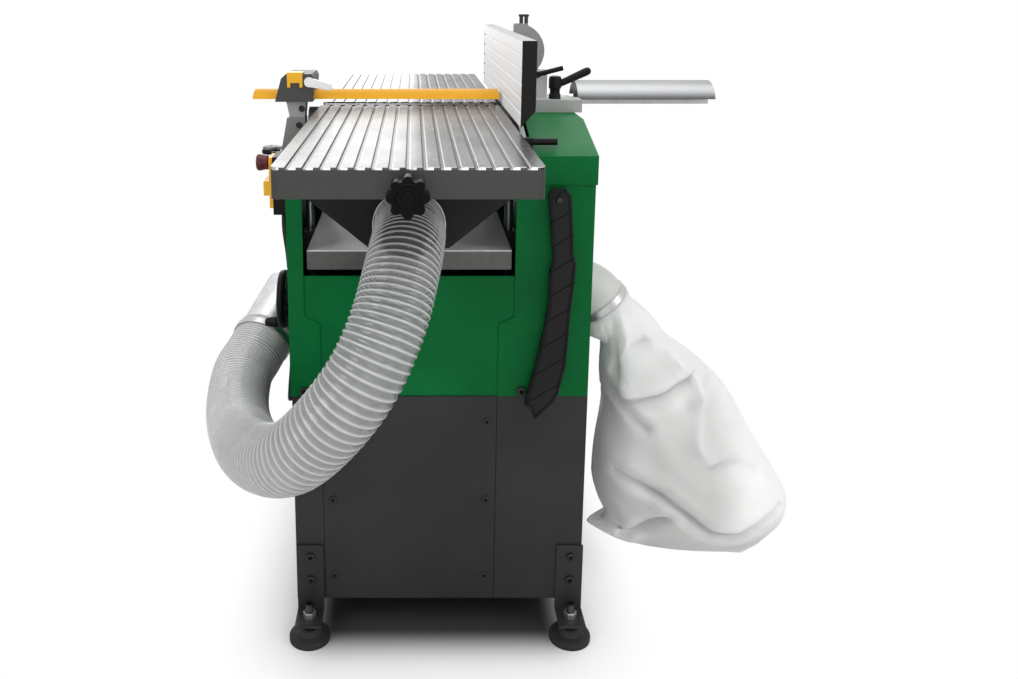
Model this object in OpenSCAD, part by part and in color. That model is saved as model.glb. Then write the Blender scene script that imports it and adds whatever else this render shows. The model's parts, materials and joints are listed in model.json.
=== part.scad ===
// Combination planer and thicknesser on a sheet-metal stand.
// Millimetres. +Z up, +Y along the planing feed, +X to the drive side.
// Modelled from the cutter axis and the table centreline, then moved so
// that the origin is the middle of the footprint on the floor.

/* [Tables] */
// Width of both planing tables
table_w = 325; // [305:5:330]
// Length over both planing tables
tables_len = 1300; // [1200:10:1360]
// Height of the planing surface above the floor
table_z = 850; // [846:1:856]
// Depth of the table rims
rim_h = 39; // [36:1:41]
// Thickness of the table rims and ribs
rim_t = 9; // [7:1:12]
// Thickness of the table plates
plate_t = 10; // [9:1:12]
// Number of lands across a table
lands = 16; // [12:1:18]
// Width of the grooves between the lands
groove_w = 6; // [4:0.5:8]
// Depth of the grooves
groove_d = 2; // [1:0.5:3]
// Front lip to cutter axis
lip_front = 28; // [27:0.5:32]
// Rear lip to cutter axis
lip_rear = 25; // [25:0.5:30]
// Lowering of the front table at full cut
cut_max = 3; // [1:0.5:3]

/* [Body] */
// Gap between the tables and the side plates
throat_gap = 23.5; // [22.5:0.5:25.5]
// Thickness of the side plates
wall = 4; // [3:0.5:5]
// Width of the drive compartment beside the right plate
drive_w = 96; // [90:1:104]
// Length of body and stand
body_len = 660; // [650:5:680]
// Thickness of the folded sheets
sheet = 2; // [1.5:0.1:2.2]
// Height of the joint between stand and body
seam_z = 417; // [412:1:420]
// Top edge of the side plates
side_top = 775; // [773:1:778]
// Top edge of the body's end panels
sill_z = 617; // [605:1:617]
// Lower edge of the drive cover
cap_z = 763; // [755:1:770]
// Flat top of the drive cover
cap_top = 846; // [844:1:848]
// Underside of the stand
stand_z = 54; // [50:1:58]
// Seams of the end panels from the side plates
seam_in = 45; // [40:1:51]
// Sides of the work opening from the side plates
mouth_lip = 21; // [19:0.5:22]

/* [Cutter and feed] */
// Radius of the cutting circle
knife_r = 37; // [35:0.5:37]
// Ends of the cutterblock from the side plates
block_end = 29; // [27:0.5:36]
// Radius of the feed rollers
roller_r = 19; // [17:0.5:19.5]
// Roller axis to cutter axis
roller_y = 62; // [60:0.5:64]

/* [Thicknesser] */
// Top of the thickness table at rest
bed_z = 657; // [650:1:658]
// Travel of the thickness table
bed_drop = 35; // [20:1:36]
// Sides of the thickness table from the side plates
bed_side = 26; // [25:1:30]
// Length of the thickness table
bed_len = 644; // [600:4:648]
// Radius of the columns and of the lift screw
column_r = 7; // [6:0.5:7.5]

/* [Fence] */
// Face of the fence from the table's edge
fence_gap = 5.5; // [4.5:0.5:7]
// Height of the fence
fence_h = 130; // [120:1:140]
// Thickness of the fence
fence_t = 22; // [21:0.5:22]
// Length of the fence
fence_len = 740; // [660:10:800]
// Front end of the fence
fence_y = -330; // [-340:5:-300]
// Inward travel of the fence
fence_travel = 150; // [100:5:150]
// Largest tilt of the fence
tilt_max = 45; // [30:1:45]

/* [Bridge guard] */
// Length of the guard arm
arm_len = 448; // [420:2:460]
// Half width of the guard arm
arm_hw = 38; // [34:1:40]
// Height of the arch of the guard arm
arm_rise = 15; // [12:1:16]
// Lift of the guard
guard_lift = 75; // [40:5:75]

/* [Extraction] */
// Outer radius of the hose at its ribs
hose_r = 54; // [53:0.5:55]
// Spacing of the hose ribs
rib_pitch = 11; // [10:0.5:16]
// Radius of the ducts
duct_r = 50; // [49:0.5:51]
// Radius of the fan wheel
fan_r = 80; // [70:1:84]

/* [Fits] */
// Radial clearance of shafts in their bearings
run_fit = 0.05; // [0.03:0.01:0.08]
// Clearance beside sliding pieces
slide_gap = 0.3; // [0.2:0.05:0.5]

/* [Hidden] */
$fn = 72;

// Body planes
table_hw = table_w / 2;
plate_in = table_hw + throat_gap;
plate_out = plate_in + wall;
body_r = plate_out + drive_w;
body_y = body_len / 2;
stand_left = -plate_out + sheet;
seam_x = plate_in - seam_in;
mouth_x = plate_in - mouth_lip;
block_len = 2 * (plate_in - block_end);
bed_w = 2 * (plate_in - bed_side);
end_y = tables_len / 2;
rim_z = table_z - rim_h;
plate_z = table_z - plate_t;
cutter_z = table_z - knife_r;
eps = 0.5;

// Middle of the footprint, from the outermost pieces
duct_left = -plate_out - 133;
bag_right = body_r + 409;
knob_front = end_y + 41;
frame_x = (bag_right + duct_left) / 2;
frame_y = (end_y - knob_front) / 2;

// Cross bars under the tables
bar_inset = 20;
inner_bar_y = 120;
bar_y = [bar_inset - body_y, -inner_bar_y, inner_bar_y, body_y - bar_inset];
bar_hw = 12.5;
bar_z = 772;
front_bar_top = rim_z - 6;
pin_x = table_hw - 52.5;
pin_r = 6;
pin_top = rim_z + 17;
rail_x = plate_in - 8;
column_x = plate_in - 15;
column_y = 160;
lug_t = 20;
lug_low = seam_z + 9;
lug_high = bar_z - lug_t;

// Cutter, rollers and belt drive
block_r = knife_r - 1;
shaft_r = 12.5;
journal_r = 8;
roller_z = cutter_z - knife_r - 2 + roller_r;
finger_y = roller_y + 32;
finger_z = roller_z + 8;
finger_rod_r = 5;
bearing_w = 18;
gear_t = 9;
belt_x = plate_out + 14;
belt_w = 20;
belt_t = 4;
belt_gap = 0.4;
small_pulley_r = 22;
big_pulley_r = 45;
motor_y = 60;
motor_z = 485;
motor_r = 68;
motor_left = -70;

// Extraction path
fan_left = -plate_in;
fan_w = 78;
fan_top = 577;
channel_y = -101;
channel_z = 531;
channel_h = 46;
outlet_tilt = 38;
outlet_dir = [sin(outlet_tilt), 0, -cos(outlet_tilt)];
knuckle = 0.4;
bore_over = 14;
elbow_bend = 66;
elbow_tail = 16;
collar = 1.2;
elbow_rim = 4;
elbow_t = 3.5;
outlet_end = [body_r + elbow_rim, channel_y, channel_z - elbow_bend]
  + elbow_bend * [cos(outlet_tilt), 0, sin(outlet_tilt)] + elbow_tail * outlet_dir;
bed_clear = 8;
hood_front = -max(body_y, bed_len / 2 + bed_clear);
hood_rim = 4;
spigot_r = 44.5;
spigot_len = 38;

// Hose route, square and straight at both ends, moved with the hood and the left wall
hose_stops = [[0, -334, 705], [0, -375, 705], [0, -416, 705], [-8, -480, 680], [-28, -535, 615],
  [-62, -562, 545], [-110, -555, 475], [-165, -515, 410], [-222, -430, 365], [-268, -325, 342],
  [-296, -230, 348], [-300, -155, 379], [-285, -110, 401], [-270, -65, 423]];
duct_run = 80;
hose_front = hood_front - hood_rim - hose_stops[0][1];
hose_side = -plate_out - duct_run - hose_stops[13][0];
hose_pts = [for (i = [0:13]) hose_stops[i] + [hose_side * min(1, i / 9), hose_front * max(0, 1 - i / 9), 0]];
hood_z = hose_pts[0][2];
inlet_end = hose_pts[13];
inlet_dir = (hose_pts[12] - hose_pts[13]) / norm(hose_pts[12] - hose_pts[13]);
inlet_bend = inlet_end - 115 * inlet_dir;
inlet_y = inlet_bend[1];
inlet_z = inlet_bend[2];
hose_ref = [0.8, 0, -0.6];
rib_h = 2.5;
hose_bore = hose_r - 5;

// Switch lead route, from the left wall
cable_r = 4;
cable_stops = [[-20, -205, 690], [-20, -205, 660], [-14, -205, 600], [-12, -205, 500],
  [-13, -205, 430], [-18, -200, 375], [-22, -180, 345], [-22, -155, 345], [-20, -140, 362],
  [-14, -135, 372], [2, -135, 372]];
cable_pts = [for (q = cable_stops) q - [plate_out, 0, 0]];
cable_ref = [1, 0.2, 0];

// Dust bag sections from the right wall: centre, half width, half depth, slope of the section
bag_rows = [[[116, -116, 445], 68, 66, 22],
  [[150, -132, 400], 98, 86, 8], [[182, -146, 333], 123, 100, 2], [[201, -158, 255], 147, 112, 0],
  [[228, -165, 165], 176, 120, 0], [[231, -165, 112], 172, 114, 0], [[238, -165, 66], 128, 84, 0],
  [[254, -165, 36], 72, 46, 0]];
bag_neck = duct_r + 2;
bag_rings = concat([[outlet_end, bag_neck, bag_neck, outlet_tilt],
  [outlet_end + bag_neck / 2 * outlet_dir, bag_neck + 4, bag_neck + 4, outlet_tilt - 2]],
  [for (q = bag_rows) [q[0] + [body_r, 0, 0], q[1], q[2], q[3]]]);
bag_sides = 24;

// Fence tilt pin and carriage
fence_x = table_hw + fence_gap;
fence_z = table_z + 1;
fence_chamfer = 26;
tilt_x = fence_x + fence_t + 6;
tilt_z = fence_z + 17;
tilt_pin_r = 5;
ear_r = 10;
quad_y = 0;
quad_t = 12;
quad_r = 50;
quad_up = 78;
clamp_reach = 52;
clamp_r = 3;
clamp_stud = 22;
clamp_x = tilt_x + clamp_reach * cos(45);
clamp_z = tilt_z + clamp_reach * sin(45);
bar_low = table_z + 2;
bar_t = 8;
slide_hw = 25;
base_left = plate_out + 15;
base_right = body_r + 15;
base_front = -105;
base_rear = 60;
clamp_front = -58;
guard_left = base_right + 2;
guard_right = guard_left + 248;
fence_lock = [base_left + 51, -82];
guard_hw = 50;
gib_w = 20.7;
guard_rise = 30;
guard_z = bar_low + bar_t + 3;

// Bridge guard
stem_x = -plate_out - 15;
stem_y = -20;
stem_r = 9;
post_top = table_z - 22;
head_z = table_z + 8;
arm_z = table_z + 12;
arm_gap = 5.2;
arm_right = fence_x - arm_gap;
arm_R = (arm_hw * arm_hw + arm_rise * arm_rise) / (2 * arm_rise);
guard_R = (guard_hw * guard_hw + guard_rise * guard_rise) / (2 * guard_rise);

// Handwheel and switch
wheel_y = -160;
wheel_z = 524;
wheel_r = 52;
wheel_x = -plate_out - 22;
grip_arm = 41;
switch_y = -190;
switch_face = -plate_out - 35;
switch_bottom = 690;
switch_h = 97;
switch_hw = 32;
flap_pin_x = switch_face - 6;
flap_pin_y = switch_y + switch_hw - 3;
knuckle_r = 4.5;
knuckle_h = 10;
estop_z = switch_bottom + 83;

// Feet
foot_x = [25 - plate_out, body_r - 20];
foot_out = 28;
foot_hw = 22;
foot_z = 36;
foot_t = 4;
stud_r = 6;
pad_r = 34;

// Bent sheet outlines
function unit(v) = v / norm(v);
function side_of(a, b) = let (d = unit(b - a)) [-d[1], d[0]];
function inset(p, i, t) = i == 0 ? p[0] + t * side_of(p[0], p[1])
  : i == len(p) - 1 ? p[i] + t * side_of(p[i - 1], p[i])
  : let (m = side_of(p[i - 1], p[i]), n = side_of(p[i], p[i + 1])) p[i] + t * (m + n) / (1 + m * n);
function folded(p, t) = concat(p, [for (i = [len(p) - 1:-1:0]) inset(p, i, t)]);
function mirrored(p) = [for (i = [len(p) - 1:-1:0]) [-p[i][0], p[i][1]]];

// Smooth routes through hand-set points
function before(p, i) = i == 0 ? 2 * p[0] - p[1] : p[i - 1];
function after(p, i) = i + 2 > len(p) - 1 ? 2 * p[len(p) - 1] - p[len(p) - 2] : p[i + 2];
function along(p, i, t) = let (a = before(p, i), b = p[i], c = p[i + 1], d = after(p, i))
  0.5 * (2 * b + (c - a) * t + (2 * a - 5 * b + 4 * c - d) * t * t + (3 * b - a - 3 * c + d) * t * t * t);
function heading(p, i, t) = let (a = before(p, i), b = p[i], c = p[i + 1], d = after(p, i))
  unit((c - a) + 2 * (2 * a - 5 * b + 4 * c - d) * t + 3 * (3 * b - a - 3 * c + d) * t * t);
function circle_at(c, d, ref, r, n) = let (u = unit(ref - (ref * d) * d), v = cross(d, u))
  [for (k = [0:n - 1]) c + r * (cos(360 * k / n) * u + sin(360 * k / n) * v)];

module xprism(x0, x1) translate([x0, 0, 0]) rotate([90, 0, 90]) linear_extrude(x1 - x0) children();
module yprism(y0, y1) translate([0, y1, 0]) rotate([90, 0, 0]) linear_extrude(y1 - y0) children();
module xcyl(x0, x1, y, z, r) translate([x0, y, z]) rotate([0, 90, 0]) cylinder(h = x1 - x0, r = r);
module ycyl(y0, y1, x, z, r) translate([x, y1, z]) rotate([90, 0, 0]) cylinder(h = y1 - y0, r = r);
module zcyl(z0, z1, x, y, r) translate([x, y, z0]) cylinder(h = z1 - z0, r = r);
module box(a, b) translate(a) cube(b - a);
module aim(p, d) translate(p) rotate([0, acos(d[2] / norm(d)), atan2(d[1], d[0])]) children();
module rod(a, b, r) aim(a, b - a) cylinder(h = norm(b - a), r = r);
module ends() for (s = [0, 1]) mirror([0, s, 0]) children();

// Closed tube through rings of points
module skin(rings) {
  n = len(rings[0]);
  m = len(rings);
  polyhedron(points = [for (q = rings) for (p = q) p],
    faces = concat([[for (k = [n - 1:-1:0]) k]], [[for (k = [0:n - 1]) (m - 1) * n + k]],
      [for (i = [0:m - 2]) for (k = [0:n - 1]) [i * n + k, i * n + (k + 1) % n, (i + 1) * n + k]],
      [for (i = [0:m - 2]) for (k = [0:n - 1])
        [i * n + (k + 1) % n, (i + 1) * n + (k + 1) % n, (i + 1) * n + k]]));
}

// Two round legs and the knuckle between them
module elbow(a, b, c, r) {
  rod(a, b, r);
  rod(b, c, r);
  translate(b) sphere(r + knuckle);
}

// Belt outline round two pulleys
belt_n = 40;
function fan(p, r, a0, a1) = [for (i = [0:belt_n])
  let (a = a0 + (a1 - a0) * i / belt_n) p + r * [cos(a), sin(a)]];
function loop(a, ra, b, rb) = let (d = b - a, dir = atan2(d[1], d[0]), w = acos((ra - rb) / norm(d)))
  concat(fan(a, ra, dir + w, dir + 360 - w), fan(b, rb, dir - w, dir + w));

module placed() translate([-frame_x, -frame_y, 0]) children();

// Stand
flange_in = 34;
function stand_path(outer) = [[-seam_x + flange_in, body_y - sheet], [-seam_x, body_y - sheet],
  [-seam_x, body_y], [outer, body_y], [outer, -body_y], [-seam_x, -body_y],
  [-seam_x, -body_y + sheet], [-seam_x + flange_in, -body_y + sheet]];

module stand_left_panel() color("DimGray") difference() {
  translate([0, 0, stand_z]) linear_extrude(seam_z - stand_z) polygon(folded(stand_path(stand_left), sheet));
  xcyl(stand_left - eps, stand_left + sheet + eps, cable_pts[10][1], cable_pts[10][2], cable_r + slide_gap);
}

module stand_right_panel() color("DimGray") translate([0, 0, stand_z]) linear_extrude(seam_z - stand_z)
  polygon(folded(mirrored(stand_path(-body_r)), sheet));

module stand_end_panels() color("DimGray") ends()
  box([-seam_x + eps, -body_y, stand_z], [seam_x - eps, -body_y + sheet, seam_z]);

// Feet
module foot_brackets() color("DimGray") ends() for (x = foot_x) difference() {
  union() {
    box([x - foot_hw, -body_y - foot_t, foot_z], [x + foot_hw, -body_y, foot_z + 118]);
    box([x - foot_hw, -body_y - foot_out - foot_hw - 4, foot_z], [x + foot_hw, -body_y, foot_z + foot_t]);
  }
  zcyl(foot_z - eps, foot_z + foot_t + eps, x, -body_y - foot_out, stud_r + 0.1);
}

module foot_pads() color("Black") ends() for (x = foot_x) translate([x, -body_y - foot_out, 0])
  rotate_extrude() polygon([[0, 0], [pad_r, 0], [pad_r, 9], [stud_r + 14, 13], [stud_r + 8, 22],
    [stud_r + 0.1, 22], [stud_r + 0.1, 8], [0, 8]]);

module foot_studs() color("Silver") ends() for (x = foot_x) translate([x, -body_y - foot_out, 0]) {
  translate([0, 0, 8]) cylinder(h = foot_z + 20, r = stud_r);
  for (z = [foot_z - 10, foot_z + foot_t]) translate([0, 0, z]) cylinder(h = 10, r = 10.5, $fn = 6);
}

screw_x = seam_x - 16;
screw_h = [stand_z + 44, stand_z + 182, stand_z + 320];
peg = [body_r - 59, side_top - 31];
module fasteners() color("Black") {
  ends() {
    for (x = [-screw_x, screw_x]) for (z = screw_h) ycyl(-body_y - 3, -body_y, x, z, 6);
    for (x = foot_x) for (z = [foot_z + 56, foot_z + 98])
      ycyl(-body_y - foot_t - 5, -body_y - foot_t, x + 1, z, 7);
    for (x = [-seam_x - 26, seam_x + 38]) ycyl(-body_y - 5, -body_y, x, seam_z + 9, 8);
  }
  ycyl(-body_y - 10, -body_y, peg[0], peg[1], 11);
  ycyl(-body_y - 26, -body_y - 10, peg[0], peg[1], 5);
}

// Body
boss_hw = roller_y + 28;
module side_outline(end) polygon([[-end, seam_z], [end, seam_z], [end, side_top], [boss_hw, side_top],
  [boss_hw, cutter_z - 1], [-boss_hw, cutter_z - 1], [-boss_hw, side_top], [-end, side_top]]);

module roller_bores(x0, x1) for (y = [-roller_y, roller_y]) xcyl(x0, x1, y, roller_z, journal_r + run_fit);

module column_lugs(s) for (y = [-column_y, column_y]) {
  for (z = [lug_low, lug_high])
    box([s > 0 ? column_x - 12 : -plate_in, y - 13, z],
      [s > 0 ? plate_in : 12 - column_x, y + 13, z + lug_t]);
}

module flange_outline(outer, top) polygon([[outer, seam_z], [-seam_x, seam_z], [-seam_x, seam_z + 122],
  [-mouth_x, seam_z + 134], [-mouth_x, top], [outer, top]]);

module left_side_plate() color("SeaGreen") difference() {
  union() {
    xprism(-plate_out, -plate_in) side_outline(body_y);
    ends() yprism(-body_y, -body_y + sheet) flange_outline(-plate_out, side_top);
    column_lugs(-1);
  }
  roller_bores(-plate_out - eps, -plate_in + eps);
  xcyl(-plate_out - eps, -plate_in + eps, inlet_y, inlet_z, duct_r + slide_gap);
  xcyl(-plate_out - eps, -plate_in + eps, wheel_y, wheel_z, journal_r + run_fit);
  zcyl(lug_high - eps, lug_high + lug_t - 6, -column_x, -column_y, column_r + run_fit);
}

module drive_side_plate() color("SeaGreen") difference() {
  union() {
    xprism(plate_in, plate_out) side_outline(body_y - sheet);
    column_lugs(1);
  }
  roller_bores(plate_in - eps, plate_out + eps);
  xcyl(plate_in - eps, plate_out + eps, 0, cutter_z, shaft_r + 4);
  xcyl(plate_in - eps, plate_out + eps, motor_y, motor_z, 40);
  xcyl(plate_in - eps, plate_out + eps, channel_y, channel_z, channel_h + 1);
}

module drive_housing() color("SeaGreen") difference() {
  union() {
    ends() yprism(-body_y, -body_y + sheet) mirror([1, 0]) flange_outline(-body_r, cap_z + 6);
    box([body_r - sheet, -body_y, seam_z], [body_r, body_y, cap_z + 6]);
  }
  xcyl(body_r - sheet - eps, body_r + eps, channel_y, channel_z, channel_h + 1);
}

cap_nose = 808;
cap_flat = 190;
cap_gap = 0.5;
function cap_profile(e) = [[-body_y - e, cap_z - eps], [-body_y - e, cap_nose - sheet + e - cap_gap],
  [-cap_flat, cap_top - sheet + e - cap_gap], [cap_flat, cap_top - sheet + e - cap_gap],
  [body_y + e, cap_nose - sheet + e - cap_gap], [body_y + e, cap_z - eps]];
module drive_cap() color("SeaGreen") difference() {
  intersection() {
    xprism(plate_out + eps, body_r + sheet + cap_gap) polygon(cap_profile(sheet + cap_gap));
    box([plate_out, -end_y, cap_z], [body_r + 9, end_y, table_z]);
  }
  xprism(plate_out - eps, body_r + cap_gap) polygon(cap_profile(cap_gap));
}

module body_end_panels() color("SeaGreen") ends() {
  box([-plate_in + eps, -body_y + sheet, seam_z], [plate_in - eps, -body_y + 2 * sheet, sill_z]);
  box([-plate_in + eps, -body_y + sheet, sill_z - sheet], [plate_in - eps, -body_y + 7, sill_z]);
}

module frame_bars() color("Gray") {
  for (i = [0:3]) difference() {
    union() {
      box([-plate_in, bar_y[i] - bar_hw, bar_z], [rail_x, bar_y[i] + bar_hw, i < 2 ? front_bar_top : rim_z]);
      if (i < 2) for (x = [-pin_x, pin_x]) zcyl(bar_z, pin_top, x, bar_y[i], pin_r);
    }
  }
  difference() {
    ends() xprism(rail_x, plate_in) polygon([[-body_y + 4, bar_z], [-body_y + 4, cap_nose - 3],
      [-cap_flat, cap_top], [-102, cap_top], [-102, bar_z]]);
    zcyl(lock_z - 15, lock_z + 9, rail_x + 4, lock_y, 3 + run_fit);
  }
  for (q = [[-column_x, column_y], [column_x, -column_y], [column_x, column_y]])
    zcyl(lug_low + lug_t, lug_high, q[0], q[1], column_r);
  xcyl(-plate_in, plate_in, finger_y, finger_z, finger_rod_r);
}

// Planing tables
corner_r = 8;
rib_y = bar_y[0] - 156;
module table_plan(lip) {
  translate([-table_hw, -end_y + corner_r]) square([table_w, end_y - corner_r - lip]);
  translate([-table_hw + corner_r, -end_y]) square([table_w - 2 * corner_r, corner_r + eps]);
  for (x = [-1, 1]) translate([x * (table_hw - corner_r), -end_y + corner_r]) circle(corner_r);
}

module lip_relief(lip) xprism(-table_hw - eps, table_hw + eps) polygon([[-lip - 10, plate_z - eps],
  [-lip - 10, plate_z], [-lip, table_z - 3], [-lip + 1, table_z - 3], [-lip + 1, plate_z - eps]]);

module table_casting(lip) difference() {
  translate([0, 0, rim_z]) linear_extrude(rim_h) table_plan(lip);
  for (q = [[-end_y + rim_t, rib_y - rim_t - 1], [rib_y, bar_y[0] - 6], [bar_y[0] + 6, bar_y[1] - 6]])
    box([-table_hw + rim_t, q[0], rim_z - eps], [table_hw - rim_t, q[1], plate_z]);
  box([-table_hw - eps, bar_y[1] + 6, rim_z - eps], [table_hw + eps, 0, plate_z]);
  lip_relief(lip);
  for (i = [1:lands - 1])
    box([-table_hw + i * table_w / lands - groove_w / 2, -end_y - eps, table_z - groove_d],
    [-table_hw + i * table_w / lands + groove_w / 2, 0, table_z + eps]);
}

knob_z = rim_z + 10;
knob_shaft_r = 6;
module infeed_table() color("Gainsboro") difference() {
  union() {
    table_casting(lip_front);
    for (x = [-pin_x, pin_x]) for (i = [0, 1]) zcyl(rim_z - 2, plate_z + eps, x, bar_y[i], pin_r + 7);
  }
  for (x = [-pin_x, pin_x]) for (i = [0, 1])
    zcyl(rim_z - 3, pin_top + cut_max + 2, x, bar_y[i], pin_r + run_fit);
  ycyl(-end_y - eps, rib_y + eps, 0, knob_z, knob_shaft_r + run_fit);
}

module outfeed_table() color("Gainsboro") mirror([0, 1, 0]) table_casting(lip_rear);

knob_r = 25.5;
module depth_knob() color("Black") {
  ycyl(-end_y - 22, rib_y, 0, knob_z, knob_shaft_r);
  yprism(-knob_front, -end_y - 19) translate([0, knob_z]) union() {
    circle(knob_r - 5);
    for (i = [0:7]) rotate(45 * i) translate([knob_r - 6, 0]) circle(6);
  }
  ycyl(-end_y - 19, -end_y - 2, 0, knob_z, 13);
}

lock_y = 25 - body_y;
lock_z = 815;
module table_lock_lever() color("Black") {
  zcyl(lock_z - 14, lock_z + 1, rail_x + 4, lock_y, 3);
  zcyl(lock_z, lock_z + 17, rail_x + 4, lock_y, 8);
  xcyl(rail_x + 4, rail_x + 50, lock_y, lock_z + 11, 5.5);
}

// Cutter
slot_w = 12;
knife_w = 3;
module cutterblock() color("Silver") difference() {
  union() {
    xcyl(-block_len / 2, block_len / 2, 0, cutter_z, block_r);
    xcyl(-plate_in + bearing_w, plate_in - bearing_w, 0, cutter_z, shaft_r + 3);
    xcyl(-plate_in, belt_x + belt_w + 4, 0, cutter_z, shaft_r);
  }
  knife_places() box([-block_len / 2 - eps, -knife_w / 2, 15], [block_len / 2 + eps, slot_w, knife_r + 5]);
}

module knife_places() for (i = [0:2]) translate([0, 0, cutter_z]) rotate([120 * i + 60, 0, 0]) children();

module knives() color("LightSteelBlue") knife_places() {
  box([-block_len / 2, -knife_w / 2, 17], [block_len / 2, knife_w / 2, knife_r - 0.1]);
  box([-block_len / 2, knife_w / 2, 15], [block_len / 2, slot_w, block_r - 8]);
}

module pulley(x0, w, y, z, r, bore) translate([x0, y, z]) rotate([0, 90, 0]) rotate_extrude()
  polygon([[bore, -4], [r + 5, -4], [r + 5, -1], [r, -1], [r, w + 1], [r + 5, w + 1], [r + 5, w + 4],
    [bore, w + 4]]);

module cutter_pulley() color("DarkGray")
  pulley(belt_x, belt_w, 0, cutter_z, small_pulley_r, shaft_r);

module cutter_bearings() color("Gray") for (s = [0, 1]) mirror([s, 0, 0]) difference() {
  xcyl(plate_in - bearing_w, plate_in, 0, cutter_z, 31);
  xcyl(plate_in - bearing_w - eps, plate_in + eps, 0, cutter_z, shaft_r + run_fit);
}

// Feed
module roller(y) {
  xcyl(-block_len / 2, block_len / 2, y, roller_z, roller_r);
  xcyl(-plate_out, plate_out + gear_t - 3, y, roller_z, journal_r);
}

rib_n = 24;
module infeed_roller() color("Gray") difference() {
  roller(roller_y);
  for (i = [0:rib_n - 1]) translate([0, roller_y, roller_z]) rotate([360 * i / rib_n, 0, 0])
    box([-block_len / 2 - eps, -0.8, roller_r - 1.2], [block_len / 2 + eps, 0.8, roller_r + 2]);
}

module outfeed_roller() color("Silver") roller(-roller_y);

module feed_gearbox() color("DarkSlateGray") difference() {
  xprism(plate_out, plate_out + gear_t) union() {
    for (y = [-roller_y, roller_y]) translate([y, roller_z]) circle(22);
    translate([-roller_y, roller_z - 22]) square([2 * roller_y, 44]);
  }
  xcyl(plate_out - eps, plate_out + gear_t + eps, 0, cutter_z, shaft_r + 4);
  roller_bores(plate_out - eps, plate_out + gear_t - 2);
}

finger_pitch = 15;
finger_n = floor((plate_in - 30) / finger_pitch);
module kickback_fingers() color("DimGray") for (i = [-finger_n:finger_n]) difference() {
  xprism(finger_pitch * i - 4, finger_pitch * i + 4) union() {
    translate([finger_y, finger_z]) circle(finger_rod_r + 3);
    translate([finger_y, finger_z]) polygon([[-5, 4], [6, 4], [6, -22], [-7, -27]]);
  }
  xcyl(finger_pitch * i - 5, finger_pitch * i + 5, finger_y, finger_z, finger_rod_r + run_fit);
}

// Thicknesser
bed_deep = 31;
module thickness_table() color("Gainsboro") difference() {
  union() {
    box([-bed_w / 2, -bed_len / 2, bed_z - bed_deep], [bed_w / 2, bed_len / 2, bed_z]);
    for (x = [-1, 1]) for (y = [-column_y, column_y])
      box([x > 0 ? bed_w / 2 - 5 : -column_x - 11, y - 14, bed_z - bed_deep - 6],
        [x > 0 ? column_x + 11 : 5 - bed_w / 2, y + 14, bed_z - 7]);
  }
  for (y = [-1, 0, 1]) box([-bed_w / 2 + 10, y * bed_len / 3 - bed_len / 6 + 10, bed_z - bed_deep - eps],
    [bed_w / 2 - 10, y * bed_len / 3 + bed_len / 6 - 10, bed_z - 12]);
  for (x = [-column_x, column_x]) for (y = [-column_y, column_y])
    zcyl(bed_z - bed_deep - 7, bed_z, x, y, column_r + run_fit);
}

module lift_screw() color("Silver")
  zcyl(lug_low + lug_t, lug_high + lug_t - 7, -column_x, -column_y, column_r);

module handwheel() color("Black") {
  translate([wheel_x, wheel_y, wheel_z]) rotate([0, -90, 0]) {
    rotate_extrude() translate([wheel_r - 7, 9]) circle(7);
    cylinder(h = 18, r = 15);
    for (i = [0:2]) rotate(120 * i - 8) translate([10, -6, 4]) cube([wheel_r - 16, 12, 9]);
    translate([0, 0, -34]) cylinder(h = 36, r = journal_r);
    rotate(-172) translate([grip_arm, 0, 2]) cylinder(h = 14, r = 8);
    rotate(-172) translate([grip_arm, 0, 10]) cylinder(h = 32, r = 4);
  }
}

module crank_grip() color("Black") translate([wheel_x, wheel_y, wheel_z]) rotate([0, -90, 0]) rotate(-172)
  translate([grip_arm, 0, 0]) rotate_extrude() polygon([[4 + run_fit, 16.5], [8, 16.5], [10, 24], [8.5, 34],
    [6.5, 41], [4 + run_fit, 41]]);

// Drive
module motor() color("DimGray") difference() {
  union() {
    xcyl(motor_left, plate_in, motor_y, motor_z, motor_r - 6);
    xcyl(plate_in - 9, plate_in, motor_y, motor_z, motor_r + 12);
    xcyl(motor_left - 18, motor_left + 12, motor_y, motor_z, motor_r);
    for (i = [0:9]) xcyl(motor_left + 30 + 20 * i, motor_left + 36 + 20 * i, motor_y, motor_z, motor_r);
    box([0, motor_y + 40, motor_z + 20], [90, motor_y + 84, motor_z + 66]);
  }
  xcyl(motor_left - 19, plate_in + eps, motor_y, motor_z, 12 + run_fit);
}

module motor_pulley() color("DarkGray") {
  pulley(belt_x, belt_w, motor_y, motor_z, big_pulley_r, 0);
  xcyl(fan_left + 20, belt_x, motor_y, motor_z, 12);
}

function belt_loop(e) = loop([motor_y, motor_z], big_pulley_r + e, [0, cutter_z], small_pulley_r + e);
module drive_belt() color("Black") xprism(belt_x + 0.5, belt_x + belt_w - 0.5) difference() {
  polygon(belt_loop(belt_gap + belt_t));
  polygon(belt_loop(belt_gap));
}

// Extraction
module fan_space(e) {
  xcyl(fan_left + e, fan_left + fan_w - e, motor_y, motor_z, fan_top - motor_z - e);
  box([fan_left + e, channel_y - channel_h + e, motor_z + e], [fan_left + fan_w - e, motor_y, fan_top - e]);
  box([fan_left + e, channel_y - channel_h + e, channel_z - channel_h + e],
    [90 - e, channel_y + channel_h - e, channel_z + channel_h - e]);
}

module fan_housing() color("Black") difference() {
  union() {
    fan_space(0);
    xcyl(89, body_r + 4, channel_y, channel_z, channel_h);
  }
  fan_space(sheet);
  xcyl(86, body_r + 5, channel_y, channel_z, channel_h - sheet);
  xcyl(fan_left - eps, fan_left + sheet + eps, inlet_y, inlet_z, duct_r + slide_gap);
  xcyl(fan_left + fan_w - 3, fan_left + fan_w + eps, motor_y, motor_z, 14);
}

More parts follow.
